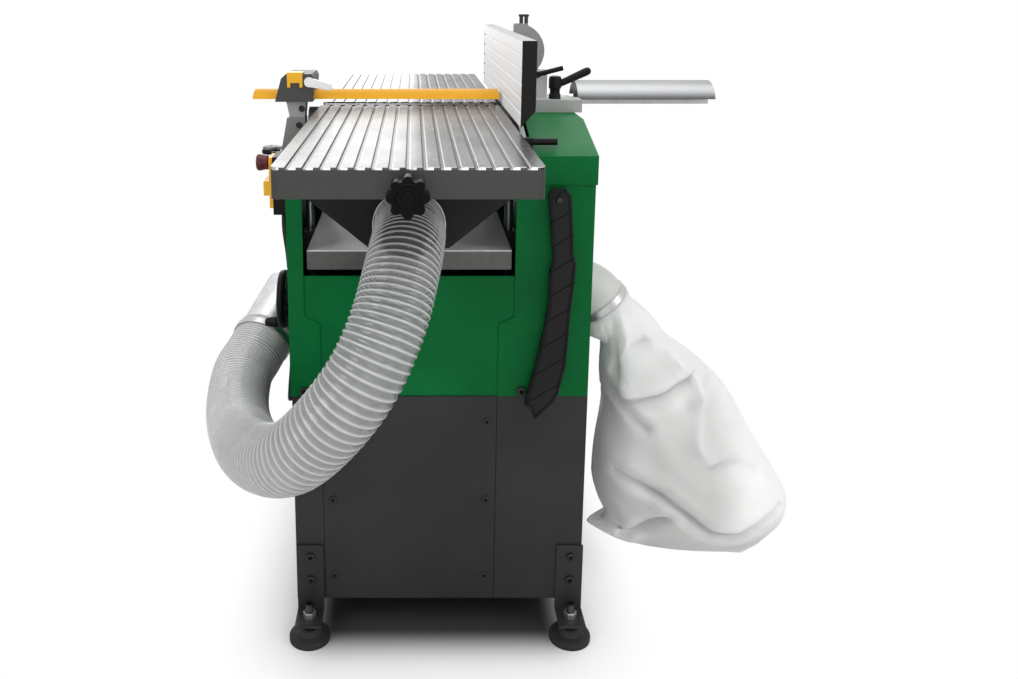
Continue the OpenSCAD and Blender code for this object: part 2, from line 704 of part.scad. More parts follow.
module fan_impeller() color("Gray") translate([fan_left, motor_y, motor_z]) difference() {
  union() {
    rotate([0, 90, 0]) translate([0, 0, 66]) cylinder(h = 4, r = fan_r);
    rotate([0, 90, 0]) translate([0, 0, 24]) cylinder(h = 46, r = 20);
    for (i = [0:7]) rotate([45 * i, 0, 0]) box([30, -2, 18], [67, 2, fan_r - 2]);
  }
  rotate([0, 90, 0]) translate([0, 0, 20]) cylinder(h = 51, r = 12);
}

module outlet_elbow() color("WhiteSmoke") {
  difference() {
    xcyl(body_r, body_r + elbow_rim, channel_y, channel_z, channel_h + 12);
    xcyl(body_r - eps, body_r + elbow_rim + eps, channel_y, channel_z, duct_r - elbow_t);
  }
  translate([body_r + elbow_rim, channel_y, channel_z - elbow_bend]) rotate([0, -90, -90])
    rotate_extrude(angle = 90 - outlet_tilt) translate([elbow_bend, 0]) difference() {
      circle(duct_r);
      circle(duct_r - elbow_t);
    }
  aim(outlet_end - elbow_tail * outlet_dir, outlet_dir) difference() {
    cylinder(h = elbow_tail, r = duct_r + collar);
    translate([0, 0, -eps]) cylinder(h = elbow_tail + 2 * eps, r = duct_r - elbow_t + collar / 2);
  }
}

module inlet_duct() color("Silver") difference() {
  union() {
    elbow([-plate_out + 1, inlet_y, inlet_z], inlet_bend, inlet_end, duct_r);
    xcyl(-plate_out - 4, -plate_out, inlet_y, inlet_z, duct_r + 10);
    rod(inlet_end - 5 * inlet_dir, inlet_end + spigot_len * inlet_dir, spigot_r);
  }
  elbow([-plate_out + bore_over, inlet_y, inlet_z], inlet_bend, inlet_end + (spigot_len + 1) * inlet_dir,
    spigot_r - sheet);
}

function bag_ring(q) = let (u = [cos(q[3]), 0, sin(q[3])], v = [0, 1, 0])
  [for (k = [0:bag_sides - 1])
    q[0] + q[1] * cos(360 * k / bag_sides) * u + q[2] * sin(360 * k / bag_sides) * v];
module dust_bag() color("WhiteSmoke") skin([for (q = bag_rings) bag_ring(q)]);

module band(p, d, r) aim(p, d) {
  rotate_extrude() translate([r, -6]) square([1.6, 12]);
  translate([r + 1, -9, -5]) cube([9, 18, 10]);
}

module band_clamps() color("Silver") {
  band([0, hose_pts[0][1] - 18, hood_z], [0, -1, 0], hose_r + slide_gap);
  band(inlet_end + 18 * inlet_dir, inlet_dir, hose_r + slide_gap);
  band(outlet_end - elbow_tail / 2 * outlet_dir, outlet_dir, duct_r + collar + 0.05);
}

// Ribbed hose with an open bore
hose_sides = 8;
function rib_count(i) = max(1, round(norm(hose_pts[i + 1] - hose_pts[i]) / rib_pitch));
hose_steps = concat([for (i = [0:len(hose_pts) - 2]) for (j = [0:rib_count(i) - 1]) [i, j / rib_count(i)]],
  [[len(hose_pts) - 2, 1]]);
function hose_ring(s, r) = circle_at(along(hose_pts, s[0], s[1]), heading(hose_pts, s[0], s[1]), hose_ref, r,
  hose_sides);
function half_step(s) = [s[0], s[1] + 0.5 / rib_count(s[0])];
module suction_hose() color([0.8, 0.82, 0.84, 0.6]) {
  n = hose_sides;
  last = len(hose_steps) - 1;
  outer = concat([for (k = [0:last - 1]) each [hose_ring(hose_steps[k], hose_r - rib_h),
    hose_ring(half_step(hose_steps[k]), hose_r)]], [hose_ring(hose_steps[last], hose_r - rib_h)]);
  inner = [for (k = [0:last]) hose_ring(hose_steps[k], hose_bore)];
  m = len(outer);
  b = m * n;
  e = b + last * n;
  polyhedron(points = concat([for (q = outer) for (p = q) p], [for (q = inner) for (p = q) p]),
    faces = concat(
      [for (i = [0:m - 2]) for (k = [0:n - 1]) [i * n + k, i * n + (k + 1) % n, (i + 1) * n + k]],
      [for (i = [0:m - 2]) for (k = [0:n - 1])
        [i * n + (k + 1) % n, (i + 1) * n + (k + 1) % n, (i + 1) * n + k]],
      [for (i = [0:last - 1]) for (k = [0:n - 1])
        [b + i * n + k, b + (i + 1) * n + k, b + i * n + (k + 1) % n]],
      [for (i = [0:last - 1]) for (k = [0:n - 1])
        [b + i * n + (k + 1) % n, b + (i + 1) * n + k, b + (i + 1) * n + (k + 1) % n]],
      [for (k = [0:n - 1]) [k, b + k, b + (k + 1) % n]],
      [for (k = [0:n - 1]) [k, b + (k + 1) % n, (k + 1) % n]],
      [for (k = [0:n - 1]) [(m - 1) * n + k, (m - 1) * n + (k + 1) % n, e + (k + 1) % n]],
      [for (k = [0:n - 1]) [(m - 1) * n + k, e + (k + 1) % n, e + k]]));
}

hood_low = bed_z + 6;
hood_hw = mouth_x - 7;
hood_shoulder = bar_z - 30;
hood_chin = spigot_r + 17.5;
hood_back = roller_y - 2;
function hood_face(e) = [[-hood_hw + e, bar_z - e], [-hood_hw + e, hood_shoulder],
  [-hood_chin + e, hood_low + e],
  [hood_chin - e, hood_low + e], [hood_hw - e, hood_shoulder], [hood_hw - e, bar_z - e]];
module hood_shape(e) hull() {
  yprism(hood_front + e, hood_front + e + 1) polygon(hood_face(e));
  box([8 - hood_hw + e, hood_back - 1 - e, bar_z - 22 + e], [hood_hw - 8 - e, hood_back - e, bar_z - e]);
}

module chip_hood() color("Black") difference() {
  union() {
    difference() {
      hood_shape(0);
      hood_shape(3);
      box([12 - hood_hw, -knife_r - 7, bar_z - 6], [hood_hw - 12, knife_r + 7, bar_z + 1]);
    }
    ycyl(hood_front - hood_rim, hood_front, 0, hood_z, hose_r + 4);
    ycyl(hose_pts[0][1] - spigot_len, hood_front, 0, hood_z, spigot_r);
  }
  ycyl(hose_pts[0][1] - spigot_len - 1, hood_front + 5, 0, hood_z, spigot_r - 3);
}

// Fence
groove_rows = 5;
module fence_outline() polygon([[0, 0], [fence_t, fence_chamfer], [fence_t, fence_h], [0, fence_h]]);
module fence_profile() difference() {
  fence_outline();
  for (i = [1:groove_rows]) translate([-eps, i * fence_h / (groove_rows + 1) - 2]) square([2, 4]);
  for (i = [0, 1]) translate([4.5, 32 + i * 48]) square([fence_t - 8, 43]);
}

module fence() color("Silver") yprism(fence_y, fence_y + fence_len)
  translate([fence_x, fence_z]) fence_profile();

module fence_end_caps() color("Black") for (y = [fence_y - 5, fence_y + fence_len])
  yprism(y, y + 5) translate([fence_x, fence_z]) fence_outline();

module arc_slot(r, hw, a0, a1) {
  intersection() {
    difference() {
      circle(r + hw);
      circle(r - hw);
    }
    polygon([[0, 0], 2 * r * [cos(a0), sin(a0)], 2 * r * [cos((a0 + a1) / 2), sin((a0 + a1) / 2)],
      2 * r * [cos(a1), sin(a1)]]);
  }
  for (a = [a0, a1]) translate(r * [cos(a), sin(a)]) circle(hw - run_fit);
}

quad_back = fence_x + fence_t - tilt_x;
module quadrant_plate() difference() {
  union() {
    intersection() {
      union() {
        translate([1, quad_up]) circle(quad_r);
        intersection() {
          circle(clamp_reach + 9);
          polygon([[-20, 0], [0, 0], [90 * cos(39), 90 * sin(39)], [90, 120], [-20, 120]]);
        }
      }
      translate([quad_back, 9]) square([120, 140]);
    }
    circle(ear_r - 1);
    translate([quad_back + 1, 0]) square([8, 12]);
  }
  circle(tilt_pin_r + run_fit);
  arc_slot(clamp_reach, clamp_r + slide_gap, 43.5, 44 + tilt_max + 2);
}

module fence_quadrant() color("LightGray") {
  yprism(quad_y, quad_y + quad_t) translate([tilt_x, tilt_z]) quadrant_plate();
  box([fence_x + fence_t, quad_y - 26, tilt_z + 66], [fence_x + fence_t + 7, quad_y + 38, tilt_z + 100]);
  for (x = [8, 17])
    zcyl(tilt_z + quad_up + quad_r - 8, tilt_z + quad_up + quad_r + 16, tilt_x + x, quad_y + 6, 3.5);
}

cheek_t = 12;
module cheek() union() {
  circle(ear_r);
  polygon([[-3, bar_low + bar_t - tilt_z], [0, 0], [7, 7], [36, 43.5], [56, 43.5],
    [56, bar_low + bar_t - tilt_z]]);
}

module fence_carriage() color("LightGray") {
  difference() {
    box([tilt_x - 6, -slide_hw, bar_low], [guard_right - 6, slide_hw, bar_low + bar_t]);
    box([tilt_x - 7, quad_y - slide_gap, bar_low - eps], [tilt_x + ear_r, quad_y + quad_t + slide_gap,
      bar_low + bar_t + eps]);
  }
  for (y = [quad_y - slide_gap - cheek_t, quad_y + quad_t + slide_gap])
    yprism(y, y + cheek_t) translate([tilt_x, tilt_z]) cheek();
  ycyl(quad_y - 2, quad_y + quad_t + 2, tilt_x, tilt_z, tilt_pin_r);
  ycyl(quad_y - clamp_stud, quad_y + quad_t + 2, clamp_x, clamp_z, clamp_r);
}

module arch(hw, rise, R, t) difference() {
  intersection() {
    translate([0, rise - R]) circle(R);
    translate([-hw, 0]) square([2 * hw, rise]);
  }
  translate([0, rise - R]) circle(R - t);
}

module rear_guard() color("Silver") xprism(guard_left, guard_right) translate([0, guard_z]) union() {
  arch(guard_hw, guard_rise, guard_R, 3);
  translate([-3, bar_low + bar_t - guard_z]) square([6, guard_rise + 2]);
}

module fence_base() color("Gray") difference() {
  union() {
    box([base_left, base_front, cap_top], [base_right, base_rear, bar_low]);
    box([base_left, base_front, bar_low - eps], [base_right, clamp_front, bar_low + 16]);
    for (y = [-slide_hw - slide_gap - gib_w, slide_hw + slide_gap])
      box([base_left, y, bar_low - eps], [base_right, y + gib_w, bar_low + bar_t]);
  }
  zcyl(bar_low - 4, bar_low + 17, fence_lock[0], fence_lock[1], 5 + run_fit);
}

module fence_lock_lever() color("Black") {
  tip = [fence_lock[0] + 62, fence_lock[1], bar_low + 62];
  zcyl(bar_low - 4, bar_low + 17, fence_lock[0], fence_lock[1], 5);
  zcyl(bar_low + 16, bar_low + 34, fence_lock[0], fence_lock[1], 11);
  rod([fence_lock[0], fence_lock[1], bar_low + 26], tip, 6);
  translate(tip) sphere(9);
}

module tilt_lever() color("Black") difference() {
  union() {
    ycyl(quad_y - clamp_stud - 4, quad_y - cheek_t - 2 * slide_gap, clamp_x, clamp_z, 5.5);
    rod([clamp_x, quad_y - 20, clamp_z], [clamp_x + 46, quad_y - 20, clamp_z + 12], 4.5);
  }
  ycyl(quad_y - clamp_stud - slide_gap, quad_y, clamp_x, clamp_z, clamp_r + run_fit);
}

// Bridge guard
knob_x = stem_x - 51.5;
lug_base = post_top - 60;
module guard_post() color("Gray") difference() {
  union() {
    yprism(stem_y - 20, stem_y + 20) polygon([[-plate_out, post_top - 120],
      [-plate_out - 46, post_top - 66], [-plate_out - 33, post_top], [-plate_out, post_top]]);
    zcyl(lug_base, lug_base + 5, knob_x, stem_y, 15);
    box([knob_x, stem_y - 9, lug_base], [-plate_out - 40, stem_y + 9, lug_base + 5]);
  }
  zcyl(post_top - 108, post_top + 1, stem_x, stem_y, stem_r + run_fit);
  zcyl(lug_base - 1, lug_base + 6, knob_x, stem_y, 4 + run_fit);
}

module guard_riser() color("DarkGray") {
  zcyl(post_top - 106, post_top + 4, stem_x, stem_y, stem_r);
  yprism(stem_y - 18, stem_y + 18) polygon([[stem_x - 13, post_top], [stem_x + 14, post_top],
    [stem_x + 17, head_z], [stem_x - 19, head_z]]);
}

head_h = 50;
head_hw = arm_hw + 10;
head_out = [[stem_x - 38, 0], [stem_x + 30, 0], [stem_x + 33, head_h - 8], [stem_x + 29, head_h],
  [stem_x - 17, head_h], [stem_x - 26, head_h - 8]];
module guard_head() color("Black") difference() {
  yprism(-head_hw, head_hw) translate([0, head_z]) polygon(head_out);
  xprism(stem_x - 50, stem_x + 50) translate([0, arm_z - slide_gap])
    arch(arm_hw + slide_gap, arm_rise + 2 * slide_gap, arm_R + slide_gap, arm_R);
  ycyl(-head_hw - eps, -head_hw + 10, stem_x + 25, head_z + 36, 4 + run_fit);
}

module guard_latch() color("Gold") {
  yprism(-head_hw - 3, -head_hw) translate([stem_x, head_z]) difference() {
    translate([-15, 26]) square([28, head_h - 26]);
    translate([-9, 25]) square([16, 9]);
  }
  box([stem_x - 15, -head_hw - 3, head_z + head_h], [stem_x + 13, -head_hw + 26, head_z + head_h + 3]);
}

module guard_lever() color("Silver") {
  ycyl(-head_hw - 6, -head_hw + 9, stem_x + 25, head_z + 36, 4);
  yprism(-head_hw - 6, -head_hw - 1) translate([stem_x + 25, head_z + 36]) union() {
    circle(9);
    polygon([[-2, 9], [40, -4], [40, -15], [2, -9]]);
  }
}

module guard_arm() color("Orange") xprism(arm_right - arm_len, arm_right) translate([0, arm_z])
  arch(arm_hw, arm_rise, arm_R, 3);

module guard_knob() color("Black") {
  zcyl(lug_base - 9, lug_base - slide_gap, knob_x, stem_y, 17);
  zcyl(lug_base - 3, lug_base + 4.5, knob_x, stem_y, 4);
}

// Switch
flap_hw = 24;
flap_low = switch_bottom + 10;
flap_high = switch_bottom + switch_h - 2;
hinge_low = switch_bottom + 2;
hinge_high = flap_high - knuckle_h + 1;
module switch_box() color("Black") difference() {
  union() {
    box([switch_face, switch_y - switch_hw, switch_bottom],
      [-plate_out, switch_y + switch_hw, switch_bottom + switch_h]);
    for (z = [hinge_low, hinge_high]) {
      zcyl(z, z + knuckle_h, flap_pin_x, flap_pin_y, knuckle_r);
      box([flap_pin_x, flap_pin_y - 2, z], [switch_face + 1, flap_pin_y + 2, z + knuckle_h]);
    }
    zcyl(hinge_low + 2, hinge_high + 8, flap_pin_x, flap_pin_y, 2);
  }
  xcyl(switch_face - eps, switch_face + 12, switch_y, estop_z, 9);
}

module switch_flap() color("Gold") difference() {
  union() {
    box([switch_face - 7, switch_y - flap_hw, flap_low], [switch_face - 1, switch_y + 20, flap_high]);
    box([switch_face - 7, switch_y + 19, hinge_low + knuckle_h + 1],
      [switch_face - 1, flap_pin_y, hinge_high - 1]);
    zcyl(hinge_low + knuckle_h + 1, hinge_high - 1, flap_pin_x, flap_pin_y, knuckle_r);
    box([switch_face - 16.5, switch_y - flap_hw, switch_bottom + 31],
      [switch_face - 6, switch_y + 20, switch_bottom + 55.5]);
  }
  zcyl(hinge_low + knuckle_h, hinge_high, flap_pin_x, flap_pin_y, 2 + run_fit);
  xcyl(switch_face - 8, switch_face, switch_y, estop_z, 8 + run_fit);
}

module estop_button() color("Red") translate([switch_face, switch_y, estop_z]) rotate([0, -90, 0])
  rotate_extrude() polygon([[0, 4], [8, 4], [8, 10.5], [12.5, 11], [12, 15], [12.5, 17], [14, 24], [14, 27],
    [12, 30], [0, 31]]);

// Push stick on its peg
stick_t = 12;
stick_y = -body_y - 22;
stick_edge = [[-16, 8], [-10, 16], [10, 16], [18, 6], [23, -54], [24, -84], [29, -100], [27, -135],
  [23, -175], [21, -221], [18, -268], [8, -313], [1, -327], [-28, -357], [-36, -336], [-43, -333],
  [-39, -308], [-30, -271], [-23, -238], [-16, -202], [-11, -162], [-11, -116], [-6, -95], [-9, -69],
  [-12, -29]];
module push_stick() color("Black") difference() {
  yprism(stick_y, stick_y + stick_t) translate(peg) polygon(stick_edge);
  ycyl(stick_y - 1, stick_y + stick_t + 1, peg[0], peg[1], 5.5);
}

// Switch lead
cable_steps = concat([for (i = [0:len(cable_pts) - 2]) for (j = [0:3]) [i, j / 4]],
  [[len(cable_pts) - 2, 1]]);
module switch_cable() color("Black") skin([for (s = cable_steps)
  circle_at(along(cable_pts, s[0], s[1]), heading(cable_pts, s[0], s[1]), cable_ref, cable_r, 8)]);

placed() stand_left_panel();
placed() stand_right_panel();
placed() stand_end_panels();
placed() foot_brackets();
placed() foot_pads();
placed() foot_studs();
placed() fasteners();
placed() left_side_plate();
placed() drive_side_plate();
placed() drive_housing();
placed() drive_cap();
placed() body_end_panels();
placed() frame_bars();
placed() infeed_table();
placed() outfeed_table();
placed() depth_knob();
placed() table_lock_lever();
placed() cutterblock();
placed() knives();
placed() cutter_pulley();
placed() cutter_bearings();
placed() infeed_roller();
placed() outfeed_roller();
placed() feed_gearbox();
placed() kickback_fingers();
placed() thickness_table();
placed() lift_screw();
placed() handwheel();
placed() crank_grip();
placed() motor();
placed() motor_pulley();
placed() drive_belt();
placed() fan_housing();
placed() fan_impeller();
placed() outlet_elbow();
placed() inlet_duct();
placed() dust_bag();
placed() band_clamps();
placed() suction_hose();
placed() chip_hood();
placed() fence();
placed() fence_end_caps();
placed() fence_quadrant();
placed() fence_carriage();
placed() rear_guard();
placed() fence_base();
placed() fence_lock_lever();
placed() tilt_lever();
placed() guard_post();
placed() guard_riser();
placed() guard_head();
placed() guard_latch();
placed() guard_lever();
placed() guard_arm();
placed() guard_knob();
placed() switch_box();
placed() switch_flap();
placed() estop_button();
placed() push_stick();
placed() switch_cable();
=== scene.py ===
import bisect
import json
import math
import bpy
import bmesh
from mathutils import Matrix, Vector


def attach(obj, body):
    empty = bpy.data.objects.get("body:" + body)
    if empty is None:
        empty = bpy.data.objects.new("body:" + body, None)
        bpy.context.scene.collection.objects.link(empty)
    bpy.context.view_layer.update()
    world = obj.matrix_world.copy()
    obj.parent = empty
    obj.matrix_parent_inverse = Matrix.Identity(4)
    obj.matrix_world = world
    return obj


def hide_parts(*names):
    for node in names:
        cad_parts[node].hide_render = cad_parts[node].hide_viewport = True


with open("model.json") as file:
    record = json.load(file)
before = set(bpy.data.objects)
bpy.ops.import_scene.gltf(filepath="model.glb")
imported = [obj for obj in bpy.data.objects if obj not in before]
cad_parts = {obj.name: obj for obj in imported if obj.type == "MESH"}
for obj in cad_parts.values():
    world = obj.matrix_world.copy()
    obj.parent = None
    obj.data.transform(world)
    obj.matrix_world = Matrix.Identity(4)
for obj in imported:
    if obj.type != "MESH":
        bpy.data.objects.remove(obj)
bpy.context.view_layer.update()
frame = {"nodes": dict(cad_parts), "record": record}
scene = bpy.context.scene


# Camera and studio. The picture is taken from in front of the infeed table at eye
# height, a little to the left, against white paper with soft light from above.
origin_x, origin_y = 186.0, -20.5


def spot(x, y, z):
    """A point in metres, from millimetres off the table centreline, cutter axis and floor."""
    return Vector(((x - origin_x) / 1000, (y - origin_y) / 1000, z / 1000))


camera_tilt = 11.69
lens = bpy.data.cameras.new("photo_camera")
lens.lens = 33.02
lens.sensor_width = 36.0
lens.shift_x = 0.0946
lens.shift_y = -0.150
camera = bpy.data.objects.new("photo_camera", lens)
camera.location = spot(5.5, -1727.5, 1049.3)
camera.rotation_euler = (math.radians(90 - camera_tilt), 0, 0)
scene.collection.objects.link(camera)
scene.camera = camera
scene.view_settings.view_transform = "Standard"

for name, place, target, size, watts in (
        ("overhead_softbox", (0.1, -0.3, 3.2), (0, 0, 0.5), (3.0, 3.4), 62),
        ("left_softbox", (-2.6, -2.2, 2.4), (0, 0, 0.6), (1.6, 2.0), 42),
        ("right_softbox", (3.0, -1.8, 2.1), (0.1, 0, 0.6), (1.6, 2.0), 32),
        ("rear_softbox", (0.3, 3.0, 2.6), (0, 0, 0.7), (2.6, 1.2), 20),
        ("rear_left_panel", (-0.9, 3.0, 1.35), (-0.3, 0, 0.85), (1.5, 1.1), 15),
        ("front_fill", (0.1, -3.3, 1.0), (0.2, 0, 0.4), (1.8, 1.4), 17)):
    lamp = bpy.data.lights.new(name, "AREA")
    lamp.shape = "RECTANGLE"
    lamp.size, lamp.size_y = size
    lamp.energy = watts
    holder = bpy.data.objects.new(name, lamp)
    holder.location = place
    holder.rotation_euler = (Vector(target) - Vector(place)).to_track_quat("-Z", "Y").to_euler()
    scene.collection.objects.link(holder)


def operator_pair(operation):
    """The plain and the reflected form of one operator of a Field."""
    def plain(self, other):
        return self.nodes.maths(operation, self, other)

    def reflected(self, other):
        return self.nodes.maths(operation, other, self)

    return plain, reflected


class Field:
    """A socket that takes part in sums, so that shader maths reads as Python."""

    def __init__(self, nodes, socket):
        self.nodes, self.socket = nodes, socket

    __add__, __radd__ = operator_pair("ADD")
    __sub__, __rsub__ = operator_pair("SUBTRACT")
    __mul__, __rmul__ = operator_pair("MULTIPLY")
    __truediv__, __rtruediv__ = operator_pair("DIVIDE")
    __pow__, __rpow__ = operator_pair("POWER")


class NodeSet:
    """The shader nodes of one tree: each call adds a node and hands back its output."""

    def __init__(self, owner):
        owner.use_nodes = True
        self.tree = owner.node_tree

    def put(self, socket, value):
        if isinstance(value, Field):
            self.tree.links.new(value.socket, socket)
        elif socket.type == "RGBA" and len(value) == 3:
            socket.default_value = (*value, 1.0)
        else:
            socket.default_value = value

    def node(self, kind, settings=None, sockets=None, out=0):
        made = self.tree.nodes.new(kind)
        for name, value in (settings or {}).items():
            setattr(made, name, value)
        for key, value in (sockets or {}).items():
            self.put(made.inputs[key], value)
        return Field(self, made.outputs[out])

    def maths(self, operation, *values):
        return self.node("ShaderNodeMath", {"operation": operation}, dict(enumerate(values)))

    def band(self, value, low, high):
        return self.node("ShaderNodeMapRange", {"interpolation_type": "SMOOTHSTEP"},
                         {"Value": value, "From Min": low, "From Max": high})

    def axis(self, letter):
        where = self.node("ShaderNodeTexCoord", out="Object")
        return self.node("ShaderNodeSeparateXYZ", None, {0: where}, out=letter)

    def ray(self, kind):
        return self.node("ShaderNodeLightPath", out=kind)

    def show(self, kind, surface):
        """Adds the tree's output node and puts this shader on it."""
        self.put(self.tree.nodes.new(kind).inputs["Surface"], surface)


white = (1, 1, 1)
room_strength = 0.26
room = bpy.data.worlds.new("white_room")
scene.world = room
air = NodeSet(room)
air.tree.nodes.clear()
seen = air.maths("MAXIMUM", air.ray("Is Camera Ray"),
                 air.maths("MAXIMUM", air.ray("Is Transmission Ray"), air.ray("Is Glossy Ray")))
room_light = air.node("ShaderNodeBackground", None, {"Color": white, "Strength": room_strength})
paper_light = air.node("ShaderNodeBackground", None, {"Color": white, "Strength": 1.0})
air.show("ShaderNodeOutputWorld",
         air.node("ShaderNodeMixShader", None, {0: seen, 1: room_light, 2: paper_light}))

paper_half = 9.0
paper_mesh = bpy.data.meshes.new("paper_floor")
paper_mesh.from_pydata([(-paper_half, -paper_half, 0), (paper_half, -paper_half, 0),
                        (paper_half, paper_half, 0), (-paper_half, paper_half, 0)], [], [(0, 1, 2, 3)])
paper = bpy.data.objects.new("paper_floor", paper_mesh)
scene.collection.objects.link(paper)
paper_stuff = bpy.data.materials.new("white_paper")
sheet = NodeSet(paper_stuff)
sheet.tree.nodes.clear()
stand_middle, stand_half = spot(48, 0, 0), (0.175, 0.335)
off_x, off_y = (
    sheet.maths("MAXIMUM", sheet.maths("ABSOLUTE", sheet.axis(letter) - middle) - half, 0.0)
    for letter, middle, half in zip("XY", stand_middle, stand_half))
off_stand = sheet.maths("SQRT", off_x * off_x + off_y * off_y)
# The paper is painted dark under the stand and fades to its own pale grey a tenth of a metre outside it. This
# is a painted shadow, on top of the real shadows the paper takes.
painted_shadow_dark, paper_pale, painted_shadow_reach, shadow_reach = 0.05, 0.93, 0.10, 0.20
paper_with_painted_shadow = painted_shadow_dark + (paper_pale - painted_shadow_dark) * sheet.band(off_stand, 0.0, painted_shadow_reach)
matt = sheet.node("ShaderNodeBsdfDiffuse", None, {"Color": paper_with_painted_shadow})
glow = sheet.node("ShaderNodeEmission", None, {"Color": white})
glow_share = sheet.ray("Is Camera Ray") * sheet.band(off_stand, 0.0, shadow_reach)
sheet.show("ShaderNodeOutputMaterial",
           sheet.node("ShaderNodeMixShader", None, {0: glow_share, 1: matt, 2: glow}))
paper_mesh.materials.append(paper_stuff)


# Suction hose. A clear ribbed hose of 100 mm bore with a sprung wire wound into its
# wall, pushed over the hood's spigot and the inlet duct and held there by band clamps.
class Finish(NodeSet):
    """A material on one Principled shader. A speckle's size is in millimetres."""

    def __init__(self, name, **fixed):
        self.material = bpy.data.materials.new(name)
        super().__init__(self.material)
        self.shader = self.tree.nodes["Principled BSDF"]
        self.given = {}
        self.give(**fixed)

    def give(self, **sockets):
        for name, value in sockets.items():
            self.put(self.shader.inputs[name.replace("_", " ")], value)
        self.given.update(sockets)

    def place(self, stretch=(1, 1, 1)):
        where = self.node("ShaderNodeTexCoord", out="Object")
        return self.node("ShaderNodeMapping", None, {"Vector": where, "Scale": stretch})

    def speckle(self, size, detail=3.0, stretch=(1, 1, 1), rough=0.6):
        return self.node("ShaderNodeTexNoise", None,
                         {"Vector": self.place(stretch), "Scale": 1000.0 / size, "Detail": detail,
                          "Roughness": rough})

    def mix(self, share, first, second):
        return self.node("ShaderNodeMix", {"data_type": "RGBA"}, {0: share, 6: first, 7: second}, out=2)

    def relief(self, height, strength, depth, under=None):
        sockets = {"Height": height, "Strength": strength, "Distance": depth}
        if under is not None:
            sockets["Normal"] = under
        return self.node("ShaderNodeBump", None, sockets)


def solid_piece(name, points, faces, finish, smooth=True):
    mesh = bpy.data.meshes.new(name)
    mesh.from_pydata([tuple(p) for p in points], [], faces)
    mesh.materials.append(finish.material)
    mesh.polygons.foreach_set("use_smooth", [smooth] * len(mesh.polygons))
    piece = bpy.data.objects.new(name, mesh)
    scene.collection.objects.link(piece)
    return piece


def tube_faces(rows, count, closed=False):
    """Faces over rows of points, each row a ring; closed joins the last row to the first."""
    faces = []
    for row in range(rows if closed else rows - 1):
        near, far = row * count, (row + 1) % rows * count
        for k in range(count):
            n = (k + 1) % count
            faces.append((near + k, near + n, far + n, far + k))
    return faces


def outward(angle, side, up):
    return math.cos(angle) * side + math.sin(angle) * up


def curve_between(a, b, c, d, t):
    """The smooth curve from b to c, where a comes before them and d after."""
    return 0.5 * (2 * b + (c - a) * t + (2 * a - 5 * b + 4 * c - d) * t * t
                  + (3 * b - a - 3 * c + d) * t ** 3)


def smooth_route(stops, steps):
    """Points on the smooth curve through the stops, as the solid's own route runs."""
    line = [2 * stops[0] - stops[1], *stops, 2 * stops[-1] - stops[-2]]
    points = [curve_between(*four, step / steps)
              for four in zip(line, line[1:], line[2:], line[3:]) for step in range(steps)]
    return points + [stops[-1]]


def frames_along(points, across):
    """Distance, point and two cross directions at each point, turned as little as can be."""
    found, run = [], 0.0
    side = Vector(across)
    for i, p in enumerate(points):
        ahead = (points[min(i + 1, len(points) - 1)] - points[max(i - 1, 0)]).normalized()
        side = (side - side.dot(ahead) * ahead).normalized()
        run += (p - points[i - 1]).length if i else 0.0
        found.append((run, p, side.copy(), ahead.cross(side)))
    return found


hose_stops = [spot(*q) for q in (
    (0, -334, 705), (0, -375, 705), (0, -416, 705), (-8, -480, 680), (-28, -535, 615), (-62, -562, 545),
    (-110, -555, 475), (-165, -515, 410), (-222, -430, 365), (-268, -325, 342), (-296, -230, 348),
    (-300, -155, 379), (-285, -110, 401), (-270, -65, 423))]
hose_steps, first_side = 80, (0.8, 0, -0.6)
hose_line = smooth_route(hose_stops, hose_steps)
hose_frames = frames_along(hose_line, first_side)
frame_runs = [found[0] for found in hose_frames]
hose_length = frame_runs[-1]
hose_radius, hose_round, rings_per_winding = 0.0535, 40, 8
rib_share, mark_sharpness = 0.17, 2.5
# share of the length and spacing of the windings there: open at the front, bunched near the duct
pitch_table = ((0.0, 0.0054), (0.10, 0.0066), (0.20, 0.0088), (0.32, 0.0114), (0.45, 0.0126), (0.62, 0.0098),
               (0.80, 0.0056), (1.0, 0.0050))
# share of the length and milkiness of the wall there, with painted shade: clear by the hood, where the
# valleys are painted dark as shade, cloudy where it is bunched
haze_and_shade_table = ((0.0, 0.0), (0.08, 0.0), (0.20, 0.26), (0.35, 0.44), (0.50, 0.58), (0.65, 0.8), (0.75, 1.0),
              (1.0, 1.0))


def along_hose(table, run):
    """What the table says at this distance from the hood."""
    t = min(max(run / hose_length, 0.0), 1.0)
    for (t0, first), (t1, last) in zip(table, table[1:]):
        if t <= t1:
            return first + (last - first) * (t - t0) / (t1 - t0)


def pitch_at(run):
    return along_hose(pitch_table, run)


turn_list = [0.0]
for a, b in zip(frame_runs, frame_runs[1:]):
    turn_list.append(turn_list[-1] + (b - a) / pitch_at(0.5 * (a + b)))


def hose_point(run):
    """The hose's middle, two cross directions and count of windings at this distance."""
    low = min(bisect.bisect_right(frame_runs, run) - 1, len(frame_runs) - 2)
    t = (run - frame_runs[low]) / (frame_runs[low + 1] - frame_runs[low])
    middle, side, up = (a.lerp(b, t) for a, b in zip(hose_frames[low][1:], hose_frames[low + 1][1:]))
    turns = turn_list[low] + (turn_list[low + 1] - turn_list[low]) * t
    return middle, side.normalized(), up.normalized(), turns


def runs_along(steps):
    """Distances along the hose, with that many to each winding."""
    found, run = [], 0.0
    while run < hose_length:
        found.append(run)
        run += pitch_at(run) / steps
    return found


ring_runs = runs_along(rings_per_winding) + [hose_length]
hose_points, winding, haze_and_shade_marks = [], [], []
for run in ring_runs:
    middle, side, up, turns = hose_point(run)
    for k in range(hose_round):
        angle = 2 * math.pi * k / hose_round
        crest = (0.5 + 0.5 * math.cos(2 * math.pi * turns - angle)) ** 2
        radius = hose_radius - rib_share * pitch_at(run) * (1 - crest)
        hose_points.append(middle + radius * outward(angle, side, up))
        winding.append(crest ** mark_sharpness)
        haze_and_shade_marks.append(along_hose(haze_and_shade_table, run))

